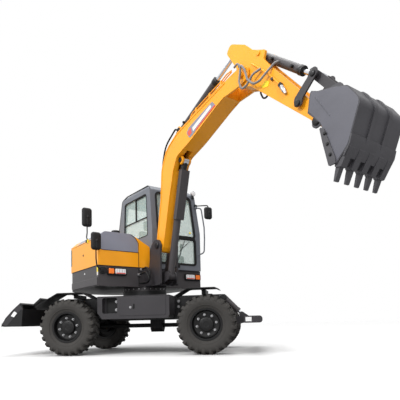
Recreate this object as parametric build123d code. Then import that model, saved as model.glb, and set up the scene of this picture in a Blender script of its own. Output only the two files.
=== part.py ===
from build123d import *
import math
import os

# Wheeled excavator, millimetres. X runs along the undercarriage towards the stabilizer,
# Y is its left side, Z is up, and the origin is on the ground under the slewing axis.
# The upper structure is drawn facing +X and turned by SLEW_AT_REST about Z when it is written.

# Stance
SLEW_AT_REST = 45.4
WHEELBASE = 2040
AXLE_MIDDLE_X = 77
TRACK = 1534
TYRE_RADIUS = 415
TYRE_WIDTH = 300
STEERED_X = AXLE_MIDDLE_X + WHEELBASE / 2
RIGID_X = AXLE_MIDDLE_X - WHEELBASE / 2

# Clearances
FIT = 0.05
SEAT = 0.3
RUN = 5

# Tyre and rim
BEAD_RADIUS = 210
RIM_WIDTH = 236
RIM_WALL = 10
RIM_FLANGE = 16
TREAD_SHOULDER = 34
LUG_DEPTH = 22
LUG_COUNT = 24
LUG_WIDTH = 50
LUG_CENTRE_OVERLAP = 10
DISC_OFFSET = 48
DISC_THICKNESS = 14
HUB_RADIUS = 92
HUB_REACH = 42
HUB_BACK = -60

# Axles
AXLE_TUBE_RADIUS = 62
DIFF_RADIUS = 135
DIFF_LENGTH = 230
AXLE_PAD_HALF = 150
KINGPIN_INSET = 167
KINGPIN_Y = TRACK / 2 - KINGPIN_INSET
KINGPIN_RADIUS = 24
KNUCKLE_HEIGHT = 190
STEER_ARM_REACH = 170
STEER_ROD_RADIUS = 16
STEER_BARREL_RADIUS = 36
STEER_BARREL_HALF = 190
STEER_ROD_Z = TYRE_RADIUS - 80

# Chassis
FRAME_HALF_WIDTH = 320
FRAME_TOP = 860
FRAME_WALL = 25
FRAME_END_BOTTOM = 640
FRAME_MIDDLE_BOTTOM = 500
FRAME_X_LOW = -1190
FRAME_X_HIGH = 1240
TIE_X = (FRAME_X_LOW + 70, FRAME_X_HIGH - 45)
TIE_Y = FRAME_HALF_WIDTH + 40
TIE_Z = FRAME_END_BOTTOM + 20
TIE_PLATE = 25
TIE_RADIUS = 22
TIE_HALF = 42
RING_RADIUS = 352
RING_BORE = 230
RING_HEIGHT = 150
DECK_BOTTOM = FRAME_TOP + RING_HEIGHT

# Side boxes
BOX_X_LOW = -505
BOX_X_HIGH = 570
BOX_Y_INNER = 400
BOX_Y_OUTER = 800
BOX_BOTTOM = 520
BOX_TOP = 940
BOX_WALL = 12
POCKET_X_LOW = -430
POCKET_X_HIGH = -200
POCKET_BOTTOM = 600
POCKET_TOP = 830
POCKET_DEPTH = 90

# Fenders
FENDER_THICKNESS = 10
FENDER_Y_INNER = 600
FENDER_Y_OUTER = 930
RIGID_FENDER_TOP = FRAME_TOP + 45
STEERED_FENDER_TOP = FRAME_TOP + 55
FENDER_STAY = 60

# Transfer gearbox and shafts
GEARBOX_X = 205
GEARBOX_HALF = 110
GEARBOX_BOTTOM = 310
SHAFT_RADIUS = 32

# Blade
BLADE_HALF_WIDTH = 930
BLADE_PIVOT = (-1250, 560)
BLADE_TIP = (-1960, 450)
BLADE_ARM_Y = 250
BLADE_ARM_WIDTH = 50
BLADE_CYLINDER_BASE = (-1235, 800)
BLADE_CYLINDER_EYE = (-1545, 690)

# Stabilizer
STAB_PIVOT = (1240, 400)
STAB_BEAM_X_LOW = 1612
STAB_BEAM_X_HIGH = 1860
STAB_BEAM_Z_LOW = 425
STAB_BEAM_Z_HIGH = 520
STAB_HALF_WIDTH = 930
STAB_CYLINDER_BASE = (1290, 840)
STAB_CYLINDER_EYE = (1560, 560)

# Upper structure plan
UPPER_FRONT = 280
UPPER_RIGHT = -930
TAIL_START = -800
TAIL_FRONT = -872
WEIGHT_U = -1230
WEIGHT_TOP = 1420
WING_WALL = 50
TAIL_U = -1500
DECK_TOP = 1310
DECK_WALL = 40
HOOD_WALL = 12

# Engine cover hinge on the bulkhead
BULKHEAD_U = -866
BULKHEAD_WALL = 8
BULKHEAD_HALF = 860
BULKHEAD_TOP = 1740
COVER_HINGE = (-868, 1774)
COVER_HINGE_Y = (300, 640)
HINGE_RADIUS = 11
HINGE_PIN = 5
HINGE_WIDTH = 36

# Cab
CAB_RIGHT = -40
CAB_LEFT = 905
CAB_FRONT = 330
CAB_REAR = -850
CAB_ROOF = 2700
CAB_WALL = 50
DOOR_GAP = 12
DOOR_REBATE = 10
GLASS = 6

# Boom foot bracket and boom
BRACKET_INNER = 130
BRACKET_PLATE = 30
BOOM_HALF = 120
BOOM_WALL = 14
BELLY_ROOM = 165
BOOM_FOOT = (680, 1600)
BOOM_TIP = (2550, 3270)
BOOM_CYLINDER_BASE = (780, 1140)
BOOM_CYLINDER_EYE = (1205, 2745)
ARM_CYLINDER_BASE = (1165, 3205)
ARM_CYLINDER_EYE = (2340, 3700)
PIN_RADIUS = 30

# Arm and bucket
ARM_HALF = 95
ARM_TIP = (3530, 2310)
BUCKET_CYLINDER_BASE = (2800, 3400)
ROCKER_FOOT = (3340, 2560)
ROCKER_TOP = (3530, 2770)
BUCKET_EAR = (3750, 2500)
EAR_INNER = 100
EAR_PLATE = 20
ROCKER_INNER = 126
ROCKER_PLATE = 18
LINK_INNER = 72
LINK_PLATE = 20
BUCKET_HALF = 337
BUCKET_WALL = 20
SMALL_PIN = 22


def plane_face(rows):
    """A flat face from rows of x, y and corner radius, its round corners limited by its edges."""
    count = len(rows)
    corners = []
    for i in range(count):
        here = Vector(rows[i][0], rows[i][1])
        back = Vector(rows[i - 1][0], rows[i - 1][1]) - here
        ahead = Vector(rows[(i + 1) % count][0], rows[(i + 1) % count][1]) - here
        half_angle = math.radians(back.get_angle(ahead)) / 2
        tangent = min(rows[i][2] / math.tan(half_angle), 0.49 * back.length, 0.49 * ahead.length)
        radius = tangent * math.tan(half_angle)
        start = here + back.normalized() * tangent
        end = here + ahead.normalized() * tangent
        toward = (back.normalized() + ahead.normalized()).normalized()
        middle = here + toward * (radius / math.sin(half_angle) - radius)
        corners.append((start, middle, end, radius > 0))
    edges = []
    for i in range(count):
        start, middle, end, is_round = corners[i]
        edges.append(Line(corners[i - 1][2], start))
        if is_round:
            edges.append(ThreePointArc(start, middle, end))
    return make_face(edges)


def slab_y(rows, y_low, y_high):
    """A plate with its outline in XZ, from y_low to y_high."""
    plane = Plane(origin=(0, y_high, 0), x_dir=(1, 0, 0), z_dir=(0, -1, 0))
    return extrude(plane * plane_face(rows), y_high - y_low)


def slab_x(rows, x_low, x_high):
    """A plate with its outline in YZ, from x_low to x_high."""
    plane = Plane(origin=(x_low, 0, 0), x_dir=(0, 1, 0), z_dir=(1, 0, 0))
    return extrude(plane * plane_face(rows), x_high - x_low)


def slab_z(rows, z_low, z_high):
    """A plate with its outline in XY, from z_low to z_high."""
    plane = Plane(origin=(0, 0, z_low))
    return extrude(plane * plane_face(rows), z_high - z_low)


def block(x_low, x_high, y_low, y_high, z_low, z_high):
    """A box from its limits."""
    size = (x_high - x_low, y_high - y_low, z_high - z_low)
    return Pos(x_low, y_low, z_low) * Box(*size, align=(Align.MIN, Align.MIN, Align.MIN))


def bar_y(point, radius, y_low, y_high):
    """A round bar along Y through a point of the XZ plane."""
    plane = Plane(origin=(point[0], y_low, point[1]), z_dir=(0, 1, 0))
    return plane * Cylinder(radius, y_high - y_low, align=(Align.CENTER, Align.CENTER, Align.MIN))


def bar_z(x, y, radius, z_low, z_high):
    """A round bar along Z."""
    return Pos(x, y, z_low) * Cylinder(radius, z_high - z_low, align=(Align.CENTER, Align.CENTER, Align.MIN))


def bar_xz(start, angle, length, radius, y=0):
    """A round bar in the XZ plane from a point, at an angle above +X."""
    a = math.radians(angle)
    plane = Plane(origin=(start[0], y, start[1]), z_dir=(math.cos(a), 0, math.sin(a)))
    return plane * Cylinder(radius, length, align=(Align.CENTER, Align.CENTER, Align.MIN))


def both_sides(shape):
    """The shape with its mirror image in the XZ plane."""
    return shape + mirror(shape, about=Plane.XZ)


def angle_of(start, end):
    """The angle of a line in the XZ plane above +X, in degrees."""
    return math.degrees(math.atan2(end[1] - start[1], end[0] - start[0]))


def reach_of(start, end):
    """The distance between two points of the XZ plane."""
    return math.hypot(end[0] - start[0], end[1] - start[1])


def along(start, angle, distance):
    """The point at a distance from a start, at an angle above +X."""
    a = math.radians(angle)
    return (start[0] + distance * math.cos(a), start[1] + distance * math.sin(a))


# Hydraulic cylinders. Columns: base pin, rod eye, barrel radius, rod radius, barrel length, length of
# rod inside the barrel, eye radius, half width of the eyes, radius of the base pin.
CYLINDERS = {
    "boom": dict(base=BOOM_CYLINDER_BASE, eye=BOOM_CYLINDER_EYE, barrel=52, rod=30, length=890, inside=80,
                 eye_radius=58, eye_half=40, pin=PIN_RADIUS),
    "arm": dict(base=ARM_CYLINDER_BASE, eye=ARM_CYLINDER_EYE, barrel=50, rod=26, length=880, inside=500,
                eye_radius=48, eye_half=32, pin=SMALL_PIN),
    "bucket": dict(base=BUCKET_CYLINDER_BASE, eye=ROCKER_TOP, barrel=46, rod=24, length=690, inside=320,
                   eye_radius=42, eye_half=30, pin=SMALL_PIN),
    "blade": dict(base=BLADE_CYLINDER_BASE, eye=BLADE_CYLINDER_EYE, barrel=42, rod=22, length=250, inside=168,
                  eye_radius=36, eye_half=26, pin=SMALL_PIN),
    "stabilizer": dict(base=STAB_CYLINDER_BASE, eye=STAB_CYLINDER_EYE, barrel=42, rod=22, length=320,
                       inside=235, eye_radius=36, eye_half=26, pin=SMALL_PIN),
}
LUG_ROOM = 20
BORE_BOTTOM = 8
GLAND_LENGTH = 40
GLAND_EXTRA = 5
GUARD_LAP = 60
GUARD_WALL = 5
GUARD_END_WALL = 10
GUARD_GAP = 130


def cylinder_barrel(row):
    """Barrel with its base eye, bored for the rod and cut clear of the lugs beside the eye."""
    angle = angle_of(row["base"], row["eye"])
    half = row["eye_half"]
    body = bar_xz(row["base"], angle, row["length"], row["barrel"])
    gland_start = along(row["base"], angle, row["length"] - GLAND_LENGTH)
    body += bar_xz(gland_start, angle, GLAND_LENGTH, row["barrel"] + GLAND_EXTRA)
    body += bar_y(row["base"], row["eye_radius"], -half, half)
    room = bar_y(row["base"], row["eye_radius"] + LUG_ROOM, half, half + row["barrel"])
    body -= both_sides(room)
    bore_start = along(row["base"], angle, row["eye_radius"] + BORE_BOTTOM)
    body -= bar_xz(bore_start, angle, row["length"], row["rod"] + FIT)
    body -= bar_y(row["base"], row["pin"] + FIT, -half - 5, half + 5)
    return body


def cylinder_rod(row):
    """Rod with its eye and the eye's own pin."""
    angle = angle_of(row["base"], row["eye"])
    start = along(row["base"], angle, row["length"] - row["inside"])
    rod = bar_xz(start, angle, reach_of(start, row["eye"]), row["rod"])
    return rod + bar_y(row["eye"], row["eye_radius"], -row["eye_half"], row["eye_half"])


def tube(points, radius, bend):
    """A round tube through points in space, its corners bent."""
    path = FilletPolyline(*points, radius=bend) if len(points) > 2 else Polyline(*points)
    start = Plane(origin=path @ 0, z_dir=path % 0)
    return sweep(start * Circle(radius), path)


def hull_strip(point, radius, root, y_low, y_high):
    """A plate from a pin boss to two root points."""
    (ax, az), (bx, bz) = root
    rows = [(ax, az, 0), (bx, bz, 0)]
    direction = math.atan2((az + bz) / 2 - point[1], (ax + bx) / 2 - point[0])
    across = direction + math.pi / 2
    left = (point[0] + radius * math.cos(across), point[1] + radius * math.sin(across))
    right = (point[0] - radius * math.cos(across), point[1] - radius * math.sin(across))
    if math.dist(left, (bx, bz)) > math.dist(right, (bx, bz)):
        left, right = right, left
    rows += [(left[0], left[1], 0), (right[0], right[1], 0)]
    return slab_y(rows, y_low, y_high)


def axis_pin(point, radius, inner):
    """A pin across a clevis."""
    return bar_y(point, radius, -inner, inner)


# Undercarriage

def make_chassis_frame():
    rows = [(FRAME_X_LOW, FRAME_END_BOTTOM, 20), (FRAME_X_LOW, FRAME_TOP, 20),
            (FRAME_X_HIGH, FRAME_TOP, 20), (FRAME_X_HIGH, FRAME_END_BOTTOM, 20),
            (640, FRAME_END_BOTTOM, 30), (560, FRAME_MIDDLE_BOTTOM, 30),
            (-490, FRAME_MIDDLE_BOTTOM, 30), (-570, FRAME_END_BOTTOM, 30)]
    frame = slab_y(rows, -FRAME_HALF_WIDTH, FRAME_HALF_WIDTH)
    inner = slab_y([(FRAME_X_LOW - 5, FRAME_END_BOTTOM + 30, 0), (FRAME_X_LOW - 5, FRAME_TOP - 30, 0),
                    (FRAME_X_LOW + 120, FRAME_TOP - 30, 0), (FRAME_X_LOW + 120, FRAME_END_BOTTOM + 30, 0)],
                   -FRAME_HALF_WIDTH + 40, FRAME_HALF_WIDTH - 40)
    frame -= inner
    frame -= block(-460, 530, -FRAME_HALF_WIDTH + FRAME_WALL, FRAME_HALF_WIDTH - FRAME_WALL,
                   FRAME_MIDDLE_BOTTOM + FRAME_WALL, FRAME_TOP - FRAME_WALL)
    for x in (STEERED_X, RIGID_X):
        frame += block(x - AXLE_PAD_HALF, x + AXLE_PAD_HALF, -130, 130,
                       TYRE_RADIUS + DIFF_RADIUS - 20, FRAME_END_BOTTOM)
        frame -= bar_xz((x - AXLE_PAD_HALF - 5, TYRE_RADIUS), 0, 2 * AXLE_PAD_HALF + 10, DIFF_RADIUS + SEAT)
    blade_root = ((FRAME_X_LOW + 5, FRAME_END_BOTTOM + 5), (FRAME_X_LOW + 5, FRAME_TOP - 60))
    stab_root = ((FRAME_X_HIGH - 100, FRAME_END_BOTTOM + 5), (FRAME_X_HIGH - 5, FRAME_END_BOTTOM + 5))
    for pivot, root in ((BLADE_PIVOT, blade_root), (STAB_PIVOT, stab_root)):
        for y in (BLADE_ARM_Y - BLADE_ARM_WIDTH / 2 - RUN - 24, BLADE_ARM_Y + BLADE_ARM_WIDTH / 2 + RUN):
            lug = hull_strip(pivot, 46, root, y, y + 24) + bar_y(pivot, 46, y, y + 24)
            frame += both_sides(lug)
        frame += both_sides(bar_y(pivot, PIN_RADIUS, BLADE_ARM_Y - 60, BLADE_ARM_Y + 60))
    for row in (CYLINDERS["blade"], CYLINDERS["stabilizer"]):
        base = row["base"]
        side = -1 if base[0] < 0 else 1
        end = FRAME_X_LOW if side < 0 else FRAME_X_HIGH
        root = ((end - side * 5, base[1] - 75), (end - side * 5, min(base[1] + 45, FRAME_TOP - 5)))
        y = row["eye_half"] + RUN
        lug = hull_strip(base, 40, root, y, y + 22) + bar_y(base, 40, y, y + 22)
        frame += both_sides(lug) + axis_pin(base, row["pin"], y + 22)
    for x in TIE_X:
        eye = slab_z([(x - TIE_HALF, FRAME_HALF_WIDTH - 5, 0), (x - TIE_HALF, TIE_Y + TIE_HALF, 30),
                      (x + TIE_HALF, TIE_Y + TIE_HALF, 30), (x + TIE_HALF, FRAME_HALF_WIDTH - 5, 0)],
                     TIE_Z, TIE_Z + TIE_PLATE)
        eye -= bar_z(x, TIE_Y, TIE_RADIUS, TIE_Z - 5, TIE_Z + TIE_PLATE + 5)
        frame += both_sides(eye)
    return frame


def make_slew_ring():
    ring = bar_z(0, 0, RING_RADIUS, FRAME_TOP, FRAME_TOP + RING_HEIGHT - 60 - SEAT)
    ring += bar_z(0, 0, RING_RADIUS + 30, FRAME_TOP, FRAME_TOP + 28)
    return ring - bar_z(0, 0, RING_BORE, FRAME_TOP - 5, DECK_BOTTOM)


def make_side_boxes():
    rows = [(BOX_X_LOW, BOX_TOP, 12), (BOX_X_HIGH, BOX_TOP, 12), (BOX_X_HIGH, BOX_BOTTOM, 60),
            (BOX_X_LOW + 70, BOX_BOTTOM, 12), (BOX_X_LOW, BOX_BOTTOM + 90, 12)]
    boxes = slab_y(rows, -BOX_Y_OUTER, -BOX_Y_INNER)
    pocket = slab_y([(POCKET_X_LOW, POCKET_BOTTOM, 30), (POCKET_X_HIGH, POCKET_BOTTOM, 30),
                     (POCKET_X_HIGH, POCKET_TOP, 30), (POCKET_X_LOW, POCKET_TOP, 30)],
                    -BOX_Y_OUTER - 5, -BOX_Y_OUTER + POCKET_DEPTH)
    boxes -= pocket
    wall = BOX_WALL
    boxes -= block(BOX_X_LOW + wall, BOX_X_HIGH - wall, -BOX_Y_OUTER + POCKET_DEPTH + wall, -BOX_Y_INNER - wall,
                   BOX_BOTTOM + 90, BOX_TOP - wall)
    web = block(-380, 380, -BOX_Y_INNER, -FRAME_HALF_WIDTH, BOX_BOTTOM + 60, BOX_TOP - 120)
    boxes += web
    return both_sides(boxes)


def fender_plate(points):
    """A bent plate along a run of points, with its thickness on the upper side."""
    lower = list(points)
    upper = [(x, z + FENDER_THICKNESS) for x, z in reversed(points)]
    rows = [(x, z, 0) for x, z in lower + upper]
    return slab_y(rows, -FENDER_Y_OUTER, -FENDER_Y_INNER)


def make_fenders():
    """Four fender plates, each on a stay from the frame's top."""
    rigid_rows = [(-1420, 720), (-1070, RIGID_FENDER_TOP), (-700, RIGID_FENDER_TOP), (-545, 820)]
    steered_rows = [(660, 805), (850, STEERED_FENDER_TOP), (1230, STEERED_FENDER_TOP), (1285, 890)]
    fenders = fender_plate(rigid_rows) + fender_plate(steered_rows)
    for x, top in ((-960, RIGID_FENDER_TOP), (1010, STEERED_FENDER_TOP)):
        fenders += block(x, x + FENDER_STAY, -FENDER_Y_INNER - 5, -FRAME_HALF_WIDTH, FRAME_TOP - 10, top)
        fenders += block(x, x + FENDER_STAY, -FENDER_Y_INNER - FENDER_STAY, -FENDER_Y_INNER, top - 10, top + 5)
        fenders += block(x, x + FENDER_STAY, -FRAME_HALF_WIDTH - 5, -FRAME_HALF_WIDTH + FENDER_STAY,
                         FRAME_TOP, top)
    return both_sides(fenders)


def make_axle(x, tube_end):
    beam = bar_y((x, TYRE_RADIUS), AXLE_TUBE_RADIUS, -tube_end, tube_end)
    plane = Plane(origin=(x - DIFF_LENGTH / 2, 0, TYRE_RADIUS), z_dir=(1, 0, 0))
    beam += plane * Cylinder(DIFF_RADIUS, DIFF_LENGTH, align=(Align.CENTER, Align.CENTER, Align.MIN))
    return beam


def make_steered_axle():
    tube_end = KINGPIN_Y - 60
    axle = make_axle(STEERED_X, tube_end)
    fork_rows = [(KINGPIN_Y - 90, TYRE_RADIUS - 130, 10), (KINGPIN_Y + 34, TYRE_RADIUS - 130, 10),
                 (KINGPIN_Y + 34, TYRE_RADIUS + 130, 10), (KINGPIN_Y - 90, TYRE_RADIUS + 130, 10)]
    fork = slab_x(fork_rows, STEERED_X - 38, STEERED_X + 38)
    gap = KNUCKLE_HEIGHT / 2 + 3
    fork -= block(STEERED_X - 90, STEERED_X + 90, KINGPIN_Y - 65, KINGPIN_Y + 90,
                  TYRE_RADIUS - gap, TYRE_RADIUS + gap)
    axle += both_sides(fork)
    axle += both_sides(bar_z(STEERED_X, KINGPIN_Y, KINGPIN_RADIUS, TYRE_RADIUS - 125, TYRE_RADIUS + 125))
    rod_x = STEERED_X - STEER_ARM_REACH
    axle += both_sides(block(rod_x, STEERED_X + 10, 100, 130, STEER_ROD_Z - 30, STEER_ROD_Z + 30))
    axle += bar_y((rod_x, STEER_ROD_Z), STEER_BARREL_RADIUS, -STEER_BARREL_HALF, STEER_BARREL_HALF)
    axle -= bar_y((rod_x, STEER_ROD_Z), STEER_ROD_RADIUS + FIT, -STEER_BARREL_HALF - 5, STEER_BARREL_HALF + 5)
    return axle


def make_rigid_axle():
    axle = make_axle(RIGID_X, TRACK / 2 + HUB_BACK - SEAT)
    flange = bar_y((RIGID_X, TYRE_RADIUS), 110, TRACK / 2 - 130, TRACK / 2 + HUB_BACK - SEAT)
    return axle + both_sides(flange)


def make_steering_rod():
    point = (STEERED_X - STEER_ARM_REACH, STEER_ROD_Z)
    end = KINGPIN_Y - 50
    rod = bar_y(point, STEER_ROD_RADIUS, -end, end)
    return rod + both_sides(bar_y(point, STEER_ROD_RADIUS + 8, end - 40, end))


def make_knuckle(side):
    body = bar_z(STEERED_X, KINGPIN_Y, 44, TYRE_RADIUS - KNUCKLE_HEIGHT / 2, TYRE_RADIUS + KNUCKLE_HEIGHT / 2)
    body += bar_y((STEERED_X, TYRE_RADIUS), 44, KINGPIN_Y + 20, TRACK / 2 + HUB_BACK - SEAT)
    body += bar_y((STEERED_X, TYRE_RADIUS), 92, KINGPIN_Y + 60, TRACK / 2 + HUB_BACK - SEAT)
    far = STEERED_X - STEER_ARM_REACH - 26
    arm = slab_z([(STEERED_X - 20, KINGPIN_Y - 26, 0), (far, KINGPIN_Y - 32, 12),
                  (far, KINGPIN_Y + 4, 12), (STEERED_X - 20, KINGPIN_Y + 30, 0)],
                 STEER_ROD_Z - 14, STEER_ROD_Z + 14)
    body += arm
    body -= bar_z(STEERED_X, KINGPIN_Y, KINGPIN_RADIUS + FIT, TYRE_RADIUS - 200, TYRE_RADIUS + 200)
    return body if side > 0 else mirror(body, about=Plane.XZ)


def wheel_revolve(rows):
    """Revolve rows of radius, offset outward from the tyre's middle and corner radius about Y."""
    return revolve(Plane.XY * plane_face(rows), axis=Axis.Y)


def place_wheel(wheel, x, side):
    """A wheel piece at its hub, its outer side turned away from the machine."""
    turned = wheel if side > 0 else Rot(0, 0, 180) * wheel
    return Pos(x, side * TRACK / 2, TYRE_RADIUS) * turned


def make_tyre():
    """The tyre about its own middle, with grooves cut between its lugs in two staggered rows."""
    half = TYRE_WIDTH / 2
    bead = RIM_WIDTH / 2
    rows = [(BEAD_RADIUS, -bead + 14, 0), (BEAD_RADIUS + RIM_FLANGE + 2, -bead + 9, 0),
            (BEAD_RADIUS + 38, -bead - 4, 0), (BEAD_RADIUS + 95, -half, 0),
            (TYRE_RADIUS - TREAD_SHOULDER, -half + 8, 0), (TYRE_RADIUS, -half + 34, 0),
            (TYRE_RADIUS, half - 34, 0), (TYRE_RADIUS - TREAD_SHOULDER, half - 8, 0),
            (BEAD_RADIUS + 95, half, 0), (BEAD_RADIUS + 38, bead + 4, 0),
            (BEAD_RADIUS + RIM_FLANGE + 2, bead - 9, 0), (BEAD_RADIUS, bead - 14, 0)]
    pitch = 360 / LUG_COUNT
    groove_width = math.radians(pitch) * TYRE_RADIUS - LUG_WIDTH
    length = half + LUG_CENTRE_OVERLAP + 40
    middle_y = length / 2 - LUG_CENTRE_OVERLAP
    grooves = []
    for side, start in ((1, pitch / 2), (-1, 0)):
        groove = Pos(TYRE_RADIUS, side * middle_y, 0) * Box(2 * LUG_DEPTH, length, groove_width)
        for i in range(LUG_COUNT):
            grooves.append(Rot(0, start + i * pitch, 0) * groove)
    return wheel_revolve(rows) - grooves


def make_rim():
    """The rim about the tyre's middle, with its dished disc and hub."""
    half = RIM_WIDTH / 2
    inner = BEAD_RADIUS - RIM_WALL
    rows = [(inner, -half, 0), (BEAD_RADIUS + RIM_FLANGE, -half, 0),
            (BEAD_RADIUS + RIM_FLANGE, -half + 8, 0), (BEAD_RADIUS, -half + 13, 0),
            (BEAD_RADIUS, half - 13, 0), (BEAD_RADIUS + RIM_FLANGE, half - 8, 0),
            (BEAD_RADIUS + RIM_FLANGE, half, 0), (inner, half, 0)]
    disc_rows = [(0, DISC_OFFSET - 14, 0), (120, DISC_OFFSET - 14, 0), (150, DISC_OFFSET, 0),
                 (inner + 2, DISC_OFFSET + 10, 0), (inner + 2, DISC_OFFSET + 24, 0),
                 (150, DISC_OFFSET + DISC_THICKNESS, 0), (HUB_RADIUS, DISC_OFFSET, 0),
                 (HUB_RADIUS - 8, DISC_OFFSET + HUB_REACH, 8), (0, DISC_OFFSET + HUB_REACH, 0)]
    hub_rows = [(0, HUB_BACK, 0), (90, HUB_BACK, 0), (90, DISC_OFFSET - 10, 0), (0, DISC_OFFSET - 10, 0)]
    return wheel_revolve(rows) + wheel_revolve(disc_rows) + wheel_revolve(hub_rows)


def make_driveline():
    box = slab_x([(-GEARBOX_HALF, GEARBOX_BOTTOM + 60, 20), (-GEARBOX_HALF + 60, GEARBOX_BOTTOM, 20),
                  (GEARBOX_HALF - 60, GEARBOX_BOTTOM, 20), (GEARBOX_HALF, GEARBOX_BOTTOM + 60, 20),
                  (GEARBOX_HALF, FRAME_MIDDLE_BOTTOM, 0), (-GEARBOX_HALF, FRAME_MIDDLE_BOTTOM, 0)],
                 GEARBOX_X - 95, GEARBOX_X + 95)
    left = RIGID_X + DIFF_LENGTH / 2 + SEAT
    right = STEERED_X - DIFF_LENGTH / 2 - SEAT
    return box + bar_xz((left, TYRE_RADIUS), 0, right - left, SHAFT_RADIUS)


def make_blade():
    tip_x, tip_z = BLADE_TIP
    profile = [(tip_x, tip_z, 0), (tip_x + 70, tip_z + 120, 30), (tip_x + 200, tip_z + 250, 30),
               (tip_x + 310, tip_z + 340, 0), (tip_x + 335, tip_z + 318, 0), (tip_x + 225, tip_z + 225, 30),
               (tip_x + 100, tip_z + 90, 30), (tip_x + 60, tip_z - 8, 0)]
    blade = slab_y(profile, -BLADE_HALF_WIDTH, BLADE_HALF_WIDTH)
    crown = [(tip_x + 300, tip_z + 330, 0), (tip_x + 420, tip_z + 430, 0), (tip_x + 446, tip_z + 412, 0),
             (tip_x + 330, tip_z + 316, 0)]
    blade += slab_y(crown, -560, 560)
    rib = [(tip_x + 58, tip_z - 6, 0), (tip_x + 100, tip_z + 88, 0), (tip_x + 225, tip_z + 224, 0),
           (tip_x + 334, tip_z + 316, 0), (tip_x + 350, tip_z + 250, 0), (tip_x + 330, tip_z - 10, 0)]
    for y in (-BLADE_HALF_WIDTH, -560, 540, BLADE_HALF_WIDTH - 20):
        blade += slab_y(rib, y, y + 20)
    blade += slab_y([(tip_x + 330, tip_z - 10, 0), (tip_x + 350, tip_z + 250, 0), (tip_x + 330, tip_z + 250, 0),
                     (tip_x + 312, tip_z - 10, 0)], -BLADE_HALF_WIDTH, BLADE_HALF_WIDTH)
    arm_rows = [(tip_x + 300, tip_z + 40, 0), (BLADE_PIVOT[0], BLADE_PIVOT[1] - 42, 0),
                (BLADE_PIVOT[0], BLADE_PIVOT[1] + 42, 0), (tip_x + 300, tip_z + 190, 0)]
    half = BLADE_ARM_WIDTH / 2
    arm = slab_y(arm_rows, BLADE_ARM_Y - half, BLADE_ARM_Y + half)
    arm += bar_y(BLADE_PIVOT, 42, BLADE_ARM_Y - half, BLADE_ARM_Y + half)
    arm -= bar_y(BLADE_PIVOT, PIN_RADIUS + FIT, BLADE_ARM_Y - 60, BLADE_ARM_Y + 60)
    blade += both_sides(arm)
    row = CYLINDERS["blade"]
    y = row["eye_half"] + RUN
    root = ((tip_x + 330, tip_z + 120), (tip_x + 330, tip_z + 250))
    lug = hull_strip(row["eye"], 40, root, y, y + 20) + bar_y(row["eye"], 40, y, y + 20)
    return blade + both_sides(lug)


def make_stabilizer():
    beam = slab_y([(STAB_BEAM_X_LOW, STAB_BEAM_Z_LOW, 10), (STAB_BEAM_X_HIGH, STAB_BEAM_Z_LOW, 40),
                   (STAB_BEAM_X_HIGH, STAB_BEAM_Z_HIGH, 40), (STAB_BEAM_X_LOW, STAB_BEAM_Z_HIGH, 10)],
                  -STAB_HALF_WIDTH, STAB_HALF_WIDTH)
    half = BLADE_ARM_WIDTH / 2
    arm = slab_y([(STAB_PIVOT[0], STAB_PIVOT[1] - 42, 0), (STAB_BEAM_X_LOW + 30, STAB_BEAM_Z_LOW + 8, 30),
                  (STAB_BEAM_X_LOW + 90, STAB_BEAM_Z_HIGH - 8, 0), (1560, 540, 40),
                  (STAB_PIVOT[0], STAB_PIVOT[1] + 42, 0)], BLADE_ARM_Y - half, BLADE_ARM_Y + half)
    arm += bar_y(STAB_PIVOT, 42, BLADE_ARM_Y - half, BLADE_ARM_Y + half)
    arm -= bar_y(STAB_PIVOT, PIN_RADIUS + FIT, BLADE_ARM_Y - 60, BLADE_ARM_Y + 60)
    row = CYLINDERS["stabilizer"]
    y = row["eye_half"] + RUN
    root = ((STAB_BEAM_X_LOW + 12, STAB_BEAM_Z_HIGH - 40), (STAB_BEAM_X_LOW + 100, STAB_BEAM_Z_HIGH - 20))
    lug = hull_strip(row["eye"], 40, root, y, y + 20) + bar_y(row["eye"], 40, y, y + 20)
    return beam + both_sides(arm) + both_sides(lug)


# Upper structure, drawn facing +X

def tail_radius():
    """Radius of the tail arc through the two rear corners and the tail's middle."""
    half = -UPPER_RIGHT
    rise = TAIL_START - TAIL_U
    return (half * half + rise * rise) / (2 * rise)


def plan_face(inset):
    """The upper structure's plan with straight sides and a round tail."""
    right = UPPER_RIGHT + inset
    left = -UPPER_RIGHT - inset
    radius = tail_radius() - inset
    centre = TAIL_U + tail_radius()
    corner = centre - math.sqrt(max(radius * radius - right * right, 1))
    front = UPPER_FRONT - inset
    path = Polyline((corner, right), (front, right), (front, left), (corner, left))
    arc = ThreePointArc((corner, left), (TAIL_U + inset, 0), (corner, right))
    return make_face([path, arc])


def plan_solid(inset, z_low, z_high):
    """The upper structure's plan as a solid."""
    return extrude(Pos(0, 0, z_low) * plan_face(inset), z_high - z_low)


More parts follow.
